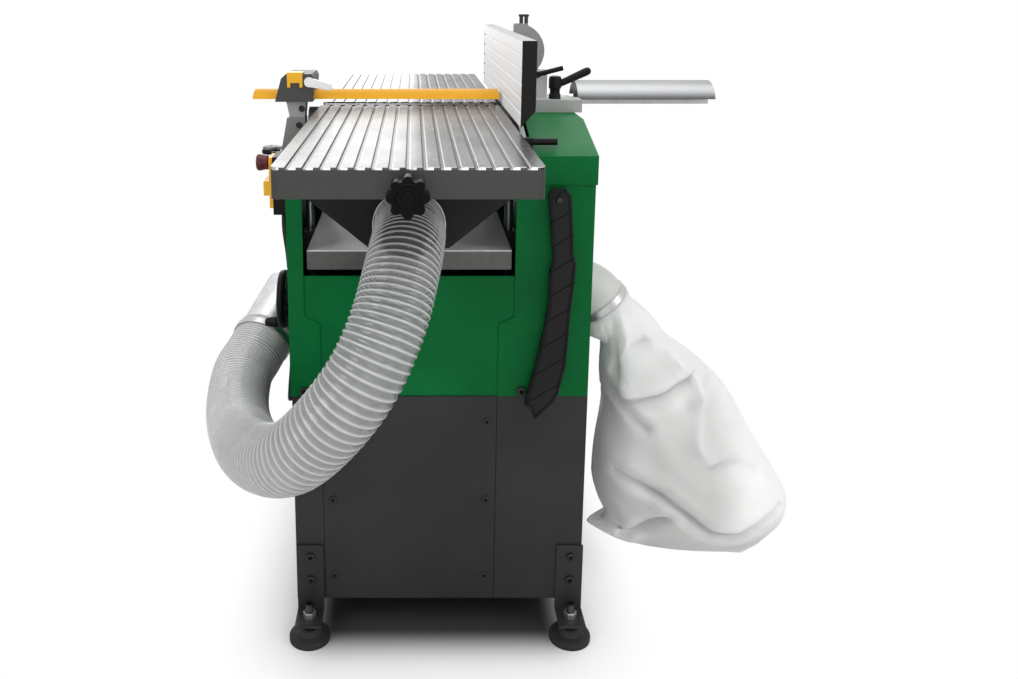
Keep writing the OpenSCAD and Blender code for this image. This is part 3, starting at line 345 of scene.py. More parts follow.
clear_wall = Finish("clear_ribbed_plastic", IOR=1.45, Coat_Weight=0.6, Coat_Roughness=0.10)
crest_mark = clear_wall.node("ShaderNodeAttribute", {"attribute_name": "winding"}, out="Fac")
haze = clear_wall.node("ShaderNodeAttribute", {"attribute_name": "haze"}, out="Fac")
cloud = clear_wall.speckle(34, 2.0)
bunched = clear_wall.band(haze, 0.8, 1.0)
# The valleys are painted darkest by the hood, as painted shade where the hood and tables shade the hose.
# Further along, the mark is the wall's real milkiness.
open_valley = clear_wall.mix(haze, (0.16, 0.161, 0.163), (0.62, 0.62, 0.63))
open_ridge = clear_wall.mix(haze, (0.86, 0.864, 0.87), (0.58, 0.584, 0.59))
valley = clear_wall.mix(bunched, open_valley, (0.56, 0.562, 0.565))
ridge = clear_wall.mix(bunched, open_ridge, (0.95, 0.955, 0.96))
clear_wall.give(
    Base_Color=clear_wall.mix(crest_mark, valley, ridge),
    Alpha=0.46 + 0.20 * haze + 0.16 * crest_mark + 0.14 * cloud,
    Roughness=0.16 + 0.2 * cloud)
hose = solid_piece("suction_hose_wall", hose_points, tube_faces(len(ring_runs), hose_round), clear_wall)
for name, values in (("winding", winding), ("haze", haze_and_shade_marks)):
    mark = hose.data.attributes.new(name, "FLOAT", "POINT")
    mark.data.foreach_set("value", values)

wire_radius, wire_sunk, wire_steps = 0.00115, 0.0012, 26
wire_points = []
for run in runs_along(wire_steps):
    middle, side, up, turns = hose_point(run)
    wire_points.append(middle + (hose_radius - wire_sunk) * outward(2 * math.pi * turns, side, up))
wire_line = bpy.data.meshes.new("hose_wire")
wire_line.from_pydata([tuple(p) for p in wire_points],
                      [(i, i + 1) for i in range(len(wire_points) - 1)], [])
wire_seed = bpy.data.objects.new("hose_wire_seed", wire_line)
scene.collection.objects.link(wire_seed)
wire_finish = Finish("wire_in_plastic", Roughness=0.25, Coat_Roughness=0.05)
# The wire is painted pale high on the hose and dark grey lower down, as painted light and shade by height.
# Its coat is thicker up there too.
wire_painted_light_top = wire_finish.band(wire_finish.axis("Z"), 0.54, 0.64)
wire_finish.give(
    Base_Color=wire_finish.mix(0.7 * wire_painted_light_top + 0.3 * wire_finish.speckle(12), (0.36, 0.362, 0.365),
                               (0.95, 0.955, 0.96)),
    Coat_Weight=0.3 + 0.6 * wire_painted_light_top)


def applied(piece):
    """The mesh that the piece's modifiers make of it. The modifiers are then taken off."""
    made = bpy.data.meshes.new_from_object(piece.evaluated_get(bpy.context.evaluated_depsgraph_get()))
    piece.modifiers.clear()
    return made


class Growth:
    """A Geometry Nodes tree with named sizes, run once and turned into a plain mesh."""

    def __init__(self, name, **sizes):
        self.tree = bpy.data.node_groups.new(name, "GeometryNodeTree")
        face = self.tree.interface
        face.new_socket("Geometry", in_out="INPUT", socket_type="NodeSocketGeometry")
        face.new_socket("Geometry", in_out="OUTPUT", socket_type="NodeSocketGeometry")
        self.keys = {}
        self.values = sizes
        for size in sizes:
            made = face.new_socket(size, in_out="INPUT", socket_type="NodeSocketFloat")
            self.keys[size] = made.identifier
        self.start = self.tree.nodes.new("NodeGroupInput")
        self.stop = self.tree.nodes.new("NodeGroupOutput")

    def node(self, kind, sockets):
        made = self.tree.nodes.new(kind)
        for key, value in sockets.items():
            if isinstance(value, bpy.types.NodeSocket):
                self.tree.links.new(value, made.inputs[key])
            else:
                made.inputs[key].default_value = value
        return made.outputs[0]

    def size(self, name):
        return self.start.outputs[name]

    def grow(self, geometry, seed, name, finish):
        real = self.node("GeometryNodeRealizeInstances", {"Geometry": geometry})
        dressed = self.node("GeometryNodeSetMaterial", {"Geometry": real, "Material": finish.material})
        self.tree.links.new(dressed, self.stop.inputs[0])
        modifier = seed.modifiers.new("growth", "NODES")
        modifier.node_group = self.tree
        for size, key in self.keys.items():
            modifier[key] = self.values[size]
        grown = applied(seed)
        bpy.data.objects.remove(seed)
        grown.name = name
        grown.materials.clear()
        grown.materials.append(finish.material)
        grown.polygons.foreach_set("material_index", [0] * len(grown.polygons))
        piece = bpy.data.objects.new(name, grown)
        scene.collection.objects.link(piece)
        return piece


wire_sides = 6
wound = Growth("wound_wire", Thickness=wire_radius)
wire_path = wound.node("GeometryNodeMeshToCurve", {"Mesh": wound.start.outputs["Geometry"]})
wire_shape = wound.node("GeometryNodeCurvePrimitiveCircle",
                        {"Resolution": wire_sides, "Radius": wound.size("Thickness")})
wire_tube = wound.node("GeometryNodeCurveToMesh",
                       {"Curve": wire_path, "Profile Curve": wire_shape, "Fill Caps": True})
wire_smooth = wound.node("GeometryNodeSetShadeSmooth", {"Geometry": wire_tube})
wire = wound.grow(wire_smooth, wire_seed, "hose_wire", wire_finish)
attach(hose, "machine")
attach(wire, "machine")
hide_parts("suction_hose")


# Switch lead. A black round cable that leaves the switch box, drops down the left wall
# and goes into the stand through a grommet beside the motor.
lead_stops = [spot(*q) for q in (
    (-210, -205, 690), (-210, -205, 660), (-204, -205, 600), (-202, -205, 500), (-203, -205, 430),
    (-208, -200, 375), (-212, -180, 345), (-212, -155, 345), (-210, -140, 362), (-204, -135, 372),
    (-188, -135, 372))]
lead_radius, lead_steps = 0.004, 8
lead_line = smooth_route(lead_stops, lead_steps)
lead_curve = bpy.data.curves.new("switch_lead", "CURVE")
lead_curve.dimensions = "3D"
lead_curve.bevel_depth = lead_radius
lead_curve.bevel_resolution = 4
lead_curve.use_fill_caps = True
run_of_lead = lead_curve.splines.new("POLY")
run_of_lead.points.add(len(lead_line) - 1)
for stop, p in zip(run_of_lead.points, lead_line):
    stop.co = (*p, 1)
black_rubber = Finish("black_rubber", Specular_IOR_Level=0.35)
dust = black_rubber.speckle(60, 4.0)
grain = black_rubber.speckle(1.6, 2.0)
black_rubber.give(
    Base_Color=black_rubber.mix(black_rubber.band(dust, 0.35, 0.8), (0.010, 0.010, 0.011),
                                (0.026, 0.026, 0.026)),
    Roughness=0.58 + 0.25 * dust,
    Normal=black_rubber.relief(grain, 0.25, 0.0004))
lead_curve.materials.append(black_rubber.material)
lead = bpy.data.objects.new("switch_lead", lead_curve)
scene.collection.objects.link(lead)
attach(lead, "machine")
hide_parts("switch_cable")


# Stand. Four folded sheets with a dark grey textured powder coat, screwed together at
# their flanges, carry the body.
slot_of = {part["node"]: part["material_slot"] for part in frame["record"]["subparts"]}
body_with = {node: body for body, nodes in frame["record"]["behaviour"]["bodies"].items() for node in nodes}
merge_gap, flat_angle, sharp_angle = 2e-6, math.radians(0.4), math.radians(34)


def formed(node, finish, edge, corner=32, steps=2):
    """The node's solid in a finish, with corners past that many degrees broken by edge millimetres."""
    shape = bmesh.new()
    shape.from_mesh(frame["nodes"][node].data)
    bmesh.ops.remove_doubles(shape, verts=shape.verts, dist=merge_gap)
    bmesh.ops.dissolve_limit(shape, angle_limit=flat_angle, verts=shape.verts, edges=shape.edges)
    mesh = bpy.data.meshes.new(node + "_formed")
    shape.to_mesh(mesh)
    shape.free()
    mesh.materials.clear()
    mesh.materials.append(finish.material)
    mesh.polygons.foreach_set("material_index", [0] * len(mesh.polygons))
    mesh.polygons.foreach_set("use_smooth", [True] * len(mesh.polygons))
    piece = bpy.data.objects.new(node + "_formed", mesh)
    scene.collection.objects.link(piece)
    broken = piece.modifiers.new("edges", "BEVEL")
    broken.width = edge / 1000
    broken.segments = steps
    broken.limit_method = "ANGLE"
    broken.angle_limit = math.radians(corner)
    piece.data = applied(piece)
    piece.data.set_sharp_from_angle(angle=sharp_angle)
    even = piece.modifiers.new("even_faces", "WEIGHTED_NORMAL")
    even.weight = 100
    even.keep_sharp = True
    piece.data = applied(piece)
    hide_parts(node)
    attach(piece, body_with[node])


def powder_coat(name, colour, pale, orange_peel=1.5, gloss=0.24):
    """Baked powder paint: fine orange peel and a faint clouding."""
    coat = Finish(name, Specular_IOR_Level=gloss)
    peel = coat.speckle(orange_peel, 2.0)
    cloud = coat.speckle(160, 4.0)
    coat.give(
        Base_Color=coat.mix(coat.band(cloud, 0.3, 0.75), colour, pale),
        Roughness=0.40 + 0.12 * cloud,
        Normal=coat.relief(peel, 0.16, 0.0005))
    return coat


stand_coat = powder_coat("dark_grey_powder_coat", (0.018, 0.0175, 0.0175), (0.026, 0.025, 0.025))
for node in ("stand_left_panel", "stand_right_panel", "stand_end_panels", "foot_brackets"):
    formed(node, stand_coat, 0.7)


# Feet. Round rubber pads on threaded zinc studs. Each stud stands in a bent bracket and is
# held there by two nuts, so that the machine can be levelled.
foot_row, foot_columns = 0.358, (spot(-165, 0, 0).x, spot(266, 0, 0).x)
stud_radius, thread_pitch = 0.0064, 0.00175
zinc = Finish("zinc_plated_steel", Metallic=1.0)
zinc_cloud = zinc.speckle(7, 4.0)
stud_x, stud_y, stud_z = (zinc.axis(letter) for letter in "XYZ")


def apart(value, middle):
    return zinc.maths("ABSOLUTE", value - middle)


near_x = zinc.maths("MINIMUM", *(apart(stud_x, column) for column in foot_columns))
near_y = apart(apart(stud_y, spot(0, 0, 0).y), foot_row)
on_stud = 1 - zinc.band(near_x ** 2.0 + near_y ** 2.0, stud_radius ** 2 * 0.96, stud_radius ** 2 * 1.04)
thread = zinc.maths("SINE", stud_z * (2 * math.pi / thread_pitch))
plated = zinc.mix(zinc_cloud, (0.42, 0.42, 0.41), (0.66, 0.66, 0.65))
# The stud's thread is painted lighter on its crests and darker in its roots: painted shade and highlight
# following the thread's relief.
thread_painted_shade = zinc.mix(0.5 + 0.5 * thread, (0.012, 0.012, 0.012), (0.10, 0.10, 0.10))
zinc.give(
    Base_Color=zinc.mix(on_stud, plated, thread_painted_shade),
    Roughness=0.26 + 0.2 * zinc_cloud,
    Normal=zinc.relief(thread * on_stud, 0.8, 0.0006))
formed("foot_pads", black_rubber, 1.2, corner=24)
formed("foot_studs", zinc, 0.6)


# Screws and bolts. Blackened button heads with hexagon sockets hold the stand's panels and
# feet, and a turned peg on the drive cover carries the push stick.
black_steel = Finish("blackened_steel", Metallic=0.6)
soot = black_steel.speckle(9, 4.0)
black_steel.give(
    Base_Color=black_steel.mix(soot, (0.012, 0.012, 0.013), (0.035, 0.035, 0.037)),
    Roughness=0.32 + 0.2 * soot)
formed("fasteners", black_steel, 1.4)
# The hexagon sockets are thin near-black hexagons laid proud on the heads: painted shade standing in for the
# recesses.
socket_painted_shade = Finish("socket_shadow", Roughness=0.8, Specular_IOR_Level=0.1)
socket_painted_shade.give(
    Base_Color=socket_painted_shade.mix(socket_painted_shade.speckle(2), (0.001, 0.001, 0.001), (0.004, 0.004, 0.004)))
socket_rise, socket_turn = 0.0004, (math.pi / 2, 0, 0)
# places across and up on the two ends, how far out their faces stand, and the sockets' half width
for name, heads, face, width in (
        ("panel_sockets", [(x, z) for x in (-125, 125) for z in (98, 236, 374)], 333, 0.0030),
        ("foot_sockets", [(x, z) for x in (-164, 267) for z in (92, 134)], 339, 0.0038),
        ("seam_sockets", [(-167, 426), (179, 426)], 335, 0.0042)):
    places = [spot(x, side * face, z) for side in (-1, 1) for x, z in heads]
    seed = solid_piece(name + "_seed", places, [], socket_painted_shade)
    hexagons = Growth(name, Width=width, Rise=socket_rise)
    hexagon = hexagons.node("GeometryNodeMeshCylinder", {
        "Vertices": 6, "Radius": hexagons.size("Width"), "Depth": hexagons.size("Rise")})
    spread = hexagons.node("GeometryNodeInstanceOnPoints", {
        "Points": hexagons.start.outputs["Geometry"], "Instance": hexagon, "Rotation": socket_turn})
    piece = hexagons.grow(spread, seed, name, socket_painted_shade)
    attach(piece, "machine")


# Body. Side plates, end panels and the drive housing with its cover, folded from sheet steel
# in green powder coat and screwed to the frame bars between them.
green_coat = powder_coat("green_powder_coat", (0.0008, 0.104, 0.024), (0.0018, 0.136, 0.034), gloss=0.08)
for node in ("left_side_plate", "drive_side_plate", "drive_housing", "body_end_panels"):
    formed(node, green_coat, 0.8)
formed("drive_cap", green_coat, 2.2, steps=3)


# Frame bars. Ground steel cross bars, guide columns and rails, set between the side plates
# to hold them apart and to guide the thickness table.
def turned_steel(name, colour, bright, rough, stretch, cloud_share=0.45):
    """Ground or turned steel: fine lines one way and a faint clouding."""
    steel = Finish(name, Metallic=1.0)
    lines = steel.speckle(1.2, 2.0, stretch)
    cloud = steel.speckle(45, 3.0)
    steel.give(
        Base_Color=steel.mix((1 - cloud_share) * lines + cloud_share * cloud, colour, bright),
        Roughness=rough + 0.16 * lines + 0.08 * cloud,
        Normal=steel.relief(lines, 0.08, 0.0003))
    return steel


bar_steel = turned_steel("ground_bar_steel", (0.28, 0.28, 0.28), (0.44, 0.44, 0.44), 0.30, (0.03, 1, 1))
formed("frame_bars", bar_steel, 0.8)


# Planing tables. Ribbed aluminium castings, planed along their length so that the lands
# shine, with duller rims and darker grooves. Each groove has a painted shade line along one
# wall and a painted highlight along the other.
table_left, table_top = spot(-162.5, 0, 0).x, spot(0, 0, 850).z
table_width, land_count = 0.325, 16
cast_top = Finish("planed_casting", Specular_Tint=(0.48, 0.48, 0.48))
height = cast_top.axis("Z")
land = cast_top.band(height, table_top - 0.0012, table_top - 0.0004)
rim = 1 - cast_top.band(height, table_top - 0.0042, table_top - 0.0030)
plane_lines = cast_top.speckle(1.1, 2.0, (1, 0.02, 1))
skin = cast_top.speckle(14, 6.0, rough=0.7)
blot = cast_top.speckle(120, 4.0)
land_colour = cast_top.mix(0.35 * plane_lines + 0.65 * cast_top.band(blot, 0.3, 0.7), (0.31, 0.31, 0.31),
                           (0.50, 0.50, 0.495))
rim_colour = cast_top.mix(skin, (0.040, 0.040, 0.039), (0.056, 0.056, 0.054))
land_pitch = table_width / land_count
# Across each groove, a thin dark line on the left wall is painted shade and a pale line on the right wall is
# a painted highlight.
groove_share = cast_top.maths("FRACT", (cast_top.axis("X") - table_left) / land_pitch + 0.5)
groove_painted_shade = 1 - cast_top.band(groove_share, 0.40, 0.46)
groove_painted_highlight = cast_top.band(groove_share, 0.57, 0.61)
groove_skin = cast_top.mix(skin, (0.24, 0.24, 0.24), (0.36, 0.36, 0.36))
groove_colour = cast_top.mix(groove_painted_highlight, cast_top.mix(groove_painted_shade, groove_skin, (0.07, 0.07, 0.07)),
                             (0.80, 0.80, 0.80))
cast_top.give(
    Base_Color=cast_top.mix(land, cast_top.mix(rim, groove_colour, rim_colour), land_colour),
    Metallic=1 - 0.8 * rim,
    Roughness=0.20 + 0.06 * skin + 0.06 * plane_lines + 0.22 * rim,
    Normal=cast_top.relief(0.4 * skin + 0.6 * plane_lines, 0.05, 0.0003))
for node in ("infeed_table", "outfeed_table"):
    formed(node, cast_top, 0.5)


# Depth knob and table lock. Both are moulded in black plastic with a fine spark grain: a lobed
# knob with a ringed face on the infeed table's front edge, and a lever beside the table.
def moulding(name, colour, pale, rough, gloss=0.30):
    plastic = Finish(name, Specular_IOR_Level=gloss)
    spark = plastic.speckle(0.9, 2.0)
    cloud = plastic.speckle(70, 3.0)
    plastic.give(
        Base_Color=plastic.mix(cloud, colour, pale),
        Roughness=rough + 0.14 * cloud,
        Normal=plastic.relief(spark, 0.14, 0.0003))
    return plastic


def turned(name, middle, ahead, profile, finish, body, sides=40):
    """A turned piece: distance along and radius of each step of its profile, round one axis."""
    ahead = Vector(ahead).normalized()
    side = ahead.orthogonal().normalized()
    up = ahead.cross(side)
    points = [middle + along * ahead + radius * outward(2 * math.pi * k / sides, side, up)
              for along, radius in profile for k in range(sides)]
    faces = tube_faces(len(profile), sides)
    faces.append(tuple(reversed(range(sides))))
    faces.append(tuple((len(profile) - 1) * sides + k for k in range(sides)))
    piece = solid_piece(name, points, faces, finish)
    piece.data.set_sharp_from_angle(angle=sharp_angle)
    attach(piece, body)
    return piece


black_moulding = moulding("black_moulded_plastic", (0.003, 0.003, 0.0034), (0.007, 0.007, 0.0075), 0.34,
                          gloss=0.12)
knob_moulding = moulding("knob_moulded_plastic", (0.002, 0.002, 0.0023), (0.005, 0.005, 0.0054), 0.30,
                         gloss=0.05)
formed("depth_knob", knob_moulding, 2.6, corner=24, steps=3)
knob_ring = ((0.0, 0.0178), (0.0012, 0.0178), (0.0020, 0.0170), (0.0020, 0.0150), (0.0004, 0.0138),
             (0.0004, 0.0086), (0.0014, 0.0080), (0.0014, 0.0030))
turned("depth_knob_cap", spot(0, -690.9, 821), (0, -1, 0), knob_ring, knob_moulding, body_with["depth_knob"])
formed("table_lock_lever", black_moulding, 1.6)


# Cutterblock. A turned steel block with three clamped knives, which runs in two grey cast
# bearings and carries the belt pulley on its drive end.
bright_steel = turned_steel("bright_turned_steel", (0.42, 0.42, 0.42), (0.62, 0.62, 0.62), 0.2, (0.04, 1, 1))
for node in ("cutterblock", "knives", "cutter_pulley"):
    formed(node, bright_steel, 0.5)
grey_casting = powder_coat("grey_painted_casting", (0.16, 0.165, 0.165), (0.25, 0.255, 0.255), 2.4)
formed("cutter_bearings", grey_casting, 0.8)


# Feed. A ribbed infeed roller and a smooth outfeed roller of dark steel, driven by a cast
# gearbox, and the row of loose fingers that stops a board from flying back.
roller_steel = turned_steel("dark_roller_steel", (0.16, 0.16, 0.16), (0.30, 0.30, 0.30), 0.32, (0.04, 1, 1))
for node in ("infeed_roller", "outfeed_roller", "kickback_fingers"):
    formed(node, roller_steel, 0.4)
formed("feed_gearbox", grey_casting, 0.8)


# Thickness table. A planed grey iron casting that slides on the guide columns and is raised
# by the turned lift screw under it.
bed_top_low, bed_top_high = 0.6553, 0.6562
bed_iron = Finish("planed_grey_iron")
planed_top_and_painted_reflection = bed_iron.band(bed_iron.axis("Z"), bed_top_low, bed_top_high)
bed_lines = bed_iron.speckle(1.2, 2.0, (1, 0.03, 1))
bed_skin = bed_iron.speckle(10, 5.0)
# The planed top is painted near white and less metallic than the dark cast skin. This is partly its own
# planed finish and partly a painted reflection of the bright studio.
bed_iron.give(
    Base_Color=bed_iron.mix(planed_top_and_painted_reflection, bed_iron.mix(bed_skin, (0.060, 0.060, 0.058), (0.105, 0.105, 0.100)),
                            bed_iron.mix(bed_lines, (0.78, 0.78, 0.78), (0.92, 0.92, 0.91))),
    Metallic=0.6 - 0.5 * planed_top_and_painted_reflection,
    Roughness=0.24 + 0.12 * bed_lines + 0.10 * bed_skin,
    Normal=bed_iron.relief(0.5 * bed_lines + 0.5 * bed_skin, 0.08, 0.0003))
formed("thickness_table", bed_iron, 1.0)
formed("lift_screw", bright_steel, 0.3)


# Handwheel. A black moulded wheel on a spindle through the left wall, with a crank grip that
# spins on its pin.
formed("handwheel", black_moulding, 1.0)
formed("crank_grip", black_moulding, 1.0)


# Motor, belt and fan. The painted motor is flanged to the drive side plate, a rubber belt runs
# from its turned pulley up to the cutterblock, and the chip fan sits on its other end.
formed("motor", stand_coat, 1.0)
formed("motor_pulley", bright_steel, 0.5)
formed("drive_belt", black_rubber, 0.4)
formed("fan_housing", stand_coat, 0.8)
formed("fan_impeller", bright_steel, 0.5)


# Ducts. A galvanised elbow takes the hose into the fan, and a white moulded elbow carries
# the chips out to the bag. Bright steel bands clamp the hose and the bag to them.
galvanised = Finish("galvanised_sheet", Metallic=1.0)
flake = galvanised.node("ShaderNodeTexVoronoi", None, {"Vector": galvanised.place(), "Scale": 90.0},
                        out="Color")
flake_grey = galvanised.node("ShaderNodeSeparateXYZ", None, {0: flake}, out="X")
zinc_haze = galvanised.speckle(50, 4.0)
galvanised.give(
    Base_Color=galvanised.mix(0.5 * flake_grey + 0.5 * zinc_haze, (0.56, 0.57, 0.58), (0.76, 0.77, 0.78)),
    Roughness=0.27 + 0.16 * zinc_haze)
formed("inlet_duct", galvanised, 1.0)
white_moulding = moulding("white_moulded_plastic", (0.52, 0.53, 0.51), (0.68, 0.69, 0.67), 0.34)
formed("outlet_elbow", white_moulding, 1.0)
formed("band_clamps", bright_steel, 0.3)


# Chip hood. Black painted sheet, folded to a funnel under the tables, with a round spigot at
# its front for the hose.
hood_coat = powder_coat("black_hood_coat", (0.009, 0.009, 0.009), (0.016, 0.016, 0.016), gloss=0.12)
formed("chip_hood", hood_coat, 1.0)


# Dust bag. White needle felt sewn into a sack, gathered round the elbow by a band. It hangs
# half full, so it is lofted with its main folds and then settled as cloth.
felt = Finish("white_needle_felt", Roughness=0.95, Sheen_Weight=0.2, Sheen_Roughness=0.5,
              Subsurface_Weight=0.8, Subsurface_Radius=(1.0, 1.0, 1.0), Subsurface_Scale=0.05)
fibre = felt.speckle(1.0, 4.0)
pad = felt.speckle(22, 4.0)
stain = felt.speckle(70, 5.0)
felt_x, felt_z = felt.axis("X"), felt.axis("Z")
lower_shade_and_stain = 1 - felt.band(felt_z, 0.10, 0.58)
unshaded_far_edge = felt.band(felt_x, spot(520, 0, 0).x, spot(610, 0, 0).x) * felt.band(felt_z, 0.06, 0.16)
painted_shade_side = felt.band(felt_x, spot(380, 0, 0).x, spot(440, 0, 0).x) * (1 - unshaded_far_edge)
# The felt is painted darker towards the bottom. From the middle rightwards, short of the far right edge, this
# is painted shade; the stains mixed in are the felt's own.
felt.give(
    Base_Color=felt.mix(lower_shade_and_stain * (0.95 * painted_shade_side + 0.20 * felt.band(stain, 0.5, 0.8)),
                        (0.89, 0.888, 0.882), (0.54, 0.535, 0.53)),
    Normal=felt.relief(0.5 * fibre + 0.5 * pad, 0.22, 0.0012))
# left edge across and up, right edge across and up, depth line, half depth and roundness of each
# section, from the neck down, in millimetres
bag_rows = [
    (311, 461, 393, 525, -101, 52, 1.0), (327, 441, 409, 505, -101, 54, 1.0),
    (344, 437, 428, 492, -104, 58, 1.0), (353, 428, 444, 480, -108, 62, 1.0),
    (345, 394, 474, 444, -115, 70, 1.0), (347, 359, 510, 420, -122, 78, 1.0),
    (351, 324, 544, 392, -129, 86, 1.05), (340, 271, 579, 354, -136, 95, 1.05),
    (335, 229, 617, 286, -143, 102, 1.05), (334, 190, 650, 232, -149, 104, 1.1),
    (347, 148, 676, 190, -155, 100, 1.1), (360, 108, 694, 150, -160, 88, 1.15),
    (327, 102, 689, 106, -163, 68, 1.2), (362, 77, 667, 76, -165, 44, 1.2),
    (413, 58, 644, 52, -165, 24, 1.1), (498, 56, 621, 38, -165, 8, 1.0)]
# creases and, where the depth is below zero, ridges of the front: points across and up, depth and
# width, all in millimetres
bag_creases = [
    (((334, 362), (354, 351), (387, 349), (414, 356), (440, 364), (472, 376), (495, 385), (503, 396)), 17, 9),
    (((344, 360), (368, 344), (412, 314)), 10, 9),
    (((350, 367), (368, 410), (390, 434), (416, 448), (431, 457), (470, 447)), 12, 11),
    (((428, 459), (459, 441), (483, 415), (503, 396), (516, 364)), -11, 13),
    (((358, 487), (365, 459), (358, 428)), 7, 11), (((380, 501), (384, 466), (375, 418)), -5, 11),
    (((516, 364), (509, 324), (504, 288), (526, 256)), -9, 15),
    (((527, 248), (581, 248), (616, 223)), 10, 14),
    (((365, 221), (404, 212), (439, 199), (484, 167), (513, 141), (535, 124), (570, 110), (591, 111),
      (600, 120), (636, 137), (666, 152)), 14, 10),
    (((353, 141), (374, 118), (386, 92)), 11, 9), (((451, 155), (428, 141), (409, 118), (392, 103)), 10, 9),
    (((487, 410), (509, 426)), 7, 8), (((525, 374), (551, 392)), 6, 8), (((581, 292), (599, 299)), 5, 7)]
bag_round, bag_steps = 192, 8
crease_share, swell_share, swell_gap, swell_width = 0.62, 0.45, 2.2, 1.4
edge_fade, neck_rings, back_share = 1.6, 8, 0.6


def section_at(i, t):
    """The measures of the bag's section at share t of the way from row i to the next."""
    rows = [bag_rows[min(max(i + k, 0), len(bag_rows) - 1)] for k in (-1, 0, 1, 2)]
    return [curve_between(*four, t) for four in zip(*rows)]


def off_line(x, z, line):
    best = math.inf
    for (ax, az), (bx, bz) in zip(line, line[1:]):
        dx, dz = bx - ax, bz - az
        t = min(max(((x - ax) * dx + (z - az) * dz) / (dx * dx + dz * dz), 0), 1)
        best = min(best, math.hypot(x - ax - t * dx, z - az - t * dz))
    return best


def sink_at(x, z):
    """How deep the creases draw the felt in here, with the swelling beside each."""
    sink = 0.0
    for line, depth, width in bag_creases:
        gap = off_line(x, z, line)
        sink += depth * (math.exp(-(gap / (crease_share * width)) ** 2)
                         - swell_share * math.exp(-((gap - swell_gap * width) / (swell_width * width)) ** 2))
    return sink


sections = [(i, step / bag_steps) for i in range(len(bag_rows) - 1) for step in range(bag_steps)]
sections.append((len(bag_rows) - 2, 1.0))
bag_points, bag_faces = [], []
for ring, (i, t) in enumerate(sections):
    left_x, left_z, right_x, right_z, y, deep, roundness = section_at(i, t)
    for k in range(bag_round):
        angle = 2 * math.pi * k / bag_round
        across = 0.5 - 0.5 * math.cos(angle)
        x, z = left_x + (right_x - left_x) * across, left_z + (right_z - left_z) * across
        thick = abs(math.sin(angle)) ** roundness
        fade = min(1.0, thick * edge_fade) * min(1.0, ring / neck_rings)
        side, crease_depth = (-1, 1.0) if math.sin(angle) > 0 else (1, back_share)
        out = deep * thick - sink_at(x, z) * fade * crease_depth
        bag_points.append(spot(x, y + side * max(out, 0), z))
        if ring:
            near, far, n = (ring - 1) * bag_round, ring * bag_round, (k + 1) % bag_round
            bag_faces.append((near + k, far + k, far + n, near + n))
bag_faces.append(tuple((len(sections) - 1) * bag_round + k for k in range(bag_round)))
bag_faces.append(tuple(reversed(range(bag_round))))
bag = solid_piece("dust_bag_felt", bag_points, bag_faces, felt)


def faces_out(piece):
    """Splits faces of more than four sides and turns all faces outwards."""
    shell = bmesh.new()
    shell.from_mesh(piece.data)
    bmesh.ops.triangulate(shell, faces=[face for face in shell.faces if len(face.verts) > 4])
    bmesh.ops.recalc_face_normals(shell, faces=shell.faces)
    shell.to_mesh(piece.data)
    shell.free()


faces_out(bag)
held_rings, seam_hold, settle_frames, settle_cap = 3, 0.25, 20, 0.006
neck = bag.vertex_groups.new(name="neck")
held = held_rings * bag_round
neck.add(list(range(held)), 1.0, "REPLACE")
seam = [i for i in range(held, len(bag_points)) if i % bag_round in (0, bag_round // 2)]
neck.add(seam, seam_hold, "REPLACE")
settle = bag.modifiers.new("settle", "CLOTH")
cloth = settle.settings
cloth.quality = 6
cloth.mass = 0.12
cloth.tension_stiffness = 14
cloth.compression_stiffness = 5
cloth.shear_stiffness = 5
cloth.bending_stiffness = 0.6
cloth.use_pressure = True
cloth.uniform_pressure_force = 0.5
cloth.shrink_min = -0.035
cloth.vertex_group_mass = "neck"
cloth.effector_weights.gravity = 0.15
settle.point_cache.frame_end = settle_frames + 2
for step in range(settle_frames):
    scene.frame_set(step + 1)
draped = applied(bag)
for vert, start in zip(draped.vertices, bag.data.vertices):
    move = vert.co - start.co
    if move.length > settle_cap:
        vert.co = start.co + move * (settle_cap / move.length)
bag.data = draped
scene.frame_set(1)
bag.vertex_groups.clear()
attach(bag, "machine")
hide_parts("dust_bag")


# Fence. An anodised aluminium profile with a grooved face and black end caps, screwed to the
# grey die-cast quadrant that tilts on the carriage.
top_shade_low, top_shade_high = 0.9800, 0.9808
anodised = Finish("anodised_aluminium", Metallic=0.12)
drawn_lines = anodised.speckle(1.2, 2.0, (1, 0.02, 1))
# The profile's top face is painted dark grey as painted shade.
painted_top_shade = anodised.band(anodised.axis("Z"), top_shade_low, top_shade_high)
anodised.give(
    Base_Color=anodised.mix(painted_top_shade, anodised.mix(drawn_lines, (0.80, 0.80, 0.81), (0.87, 0.87, 0.88)),
                            anodised.mix(drawn_lines, (0.26, 0.26, 0.26), (0.38, 0.38, 0.38))),
    Roughness=0.42 + 0.14 * drawn_lines,
    Normal=anodised.relief(drawn_lines, 0.06, 0.0003))
formed("fence", anodised, 0.6)
formed("fence_end_caps", black_moulding, 1.2)


def die_casting(name, colour, pale):
    """Blasted die casting: a fine grain and a faint clouding."""
    made = Finish(name, Metallic=0.3)
    cast_skin = made.speckle(3.0, 4.0)
    made.give(
        Base_Color=made.mix(made.speckle(60), colour, pale),
        Roughness=0.38 + 0.2 * cast_skin,
        Normal=made.relief(cast_skin, 0.12, 0.0005))
    return made


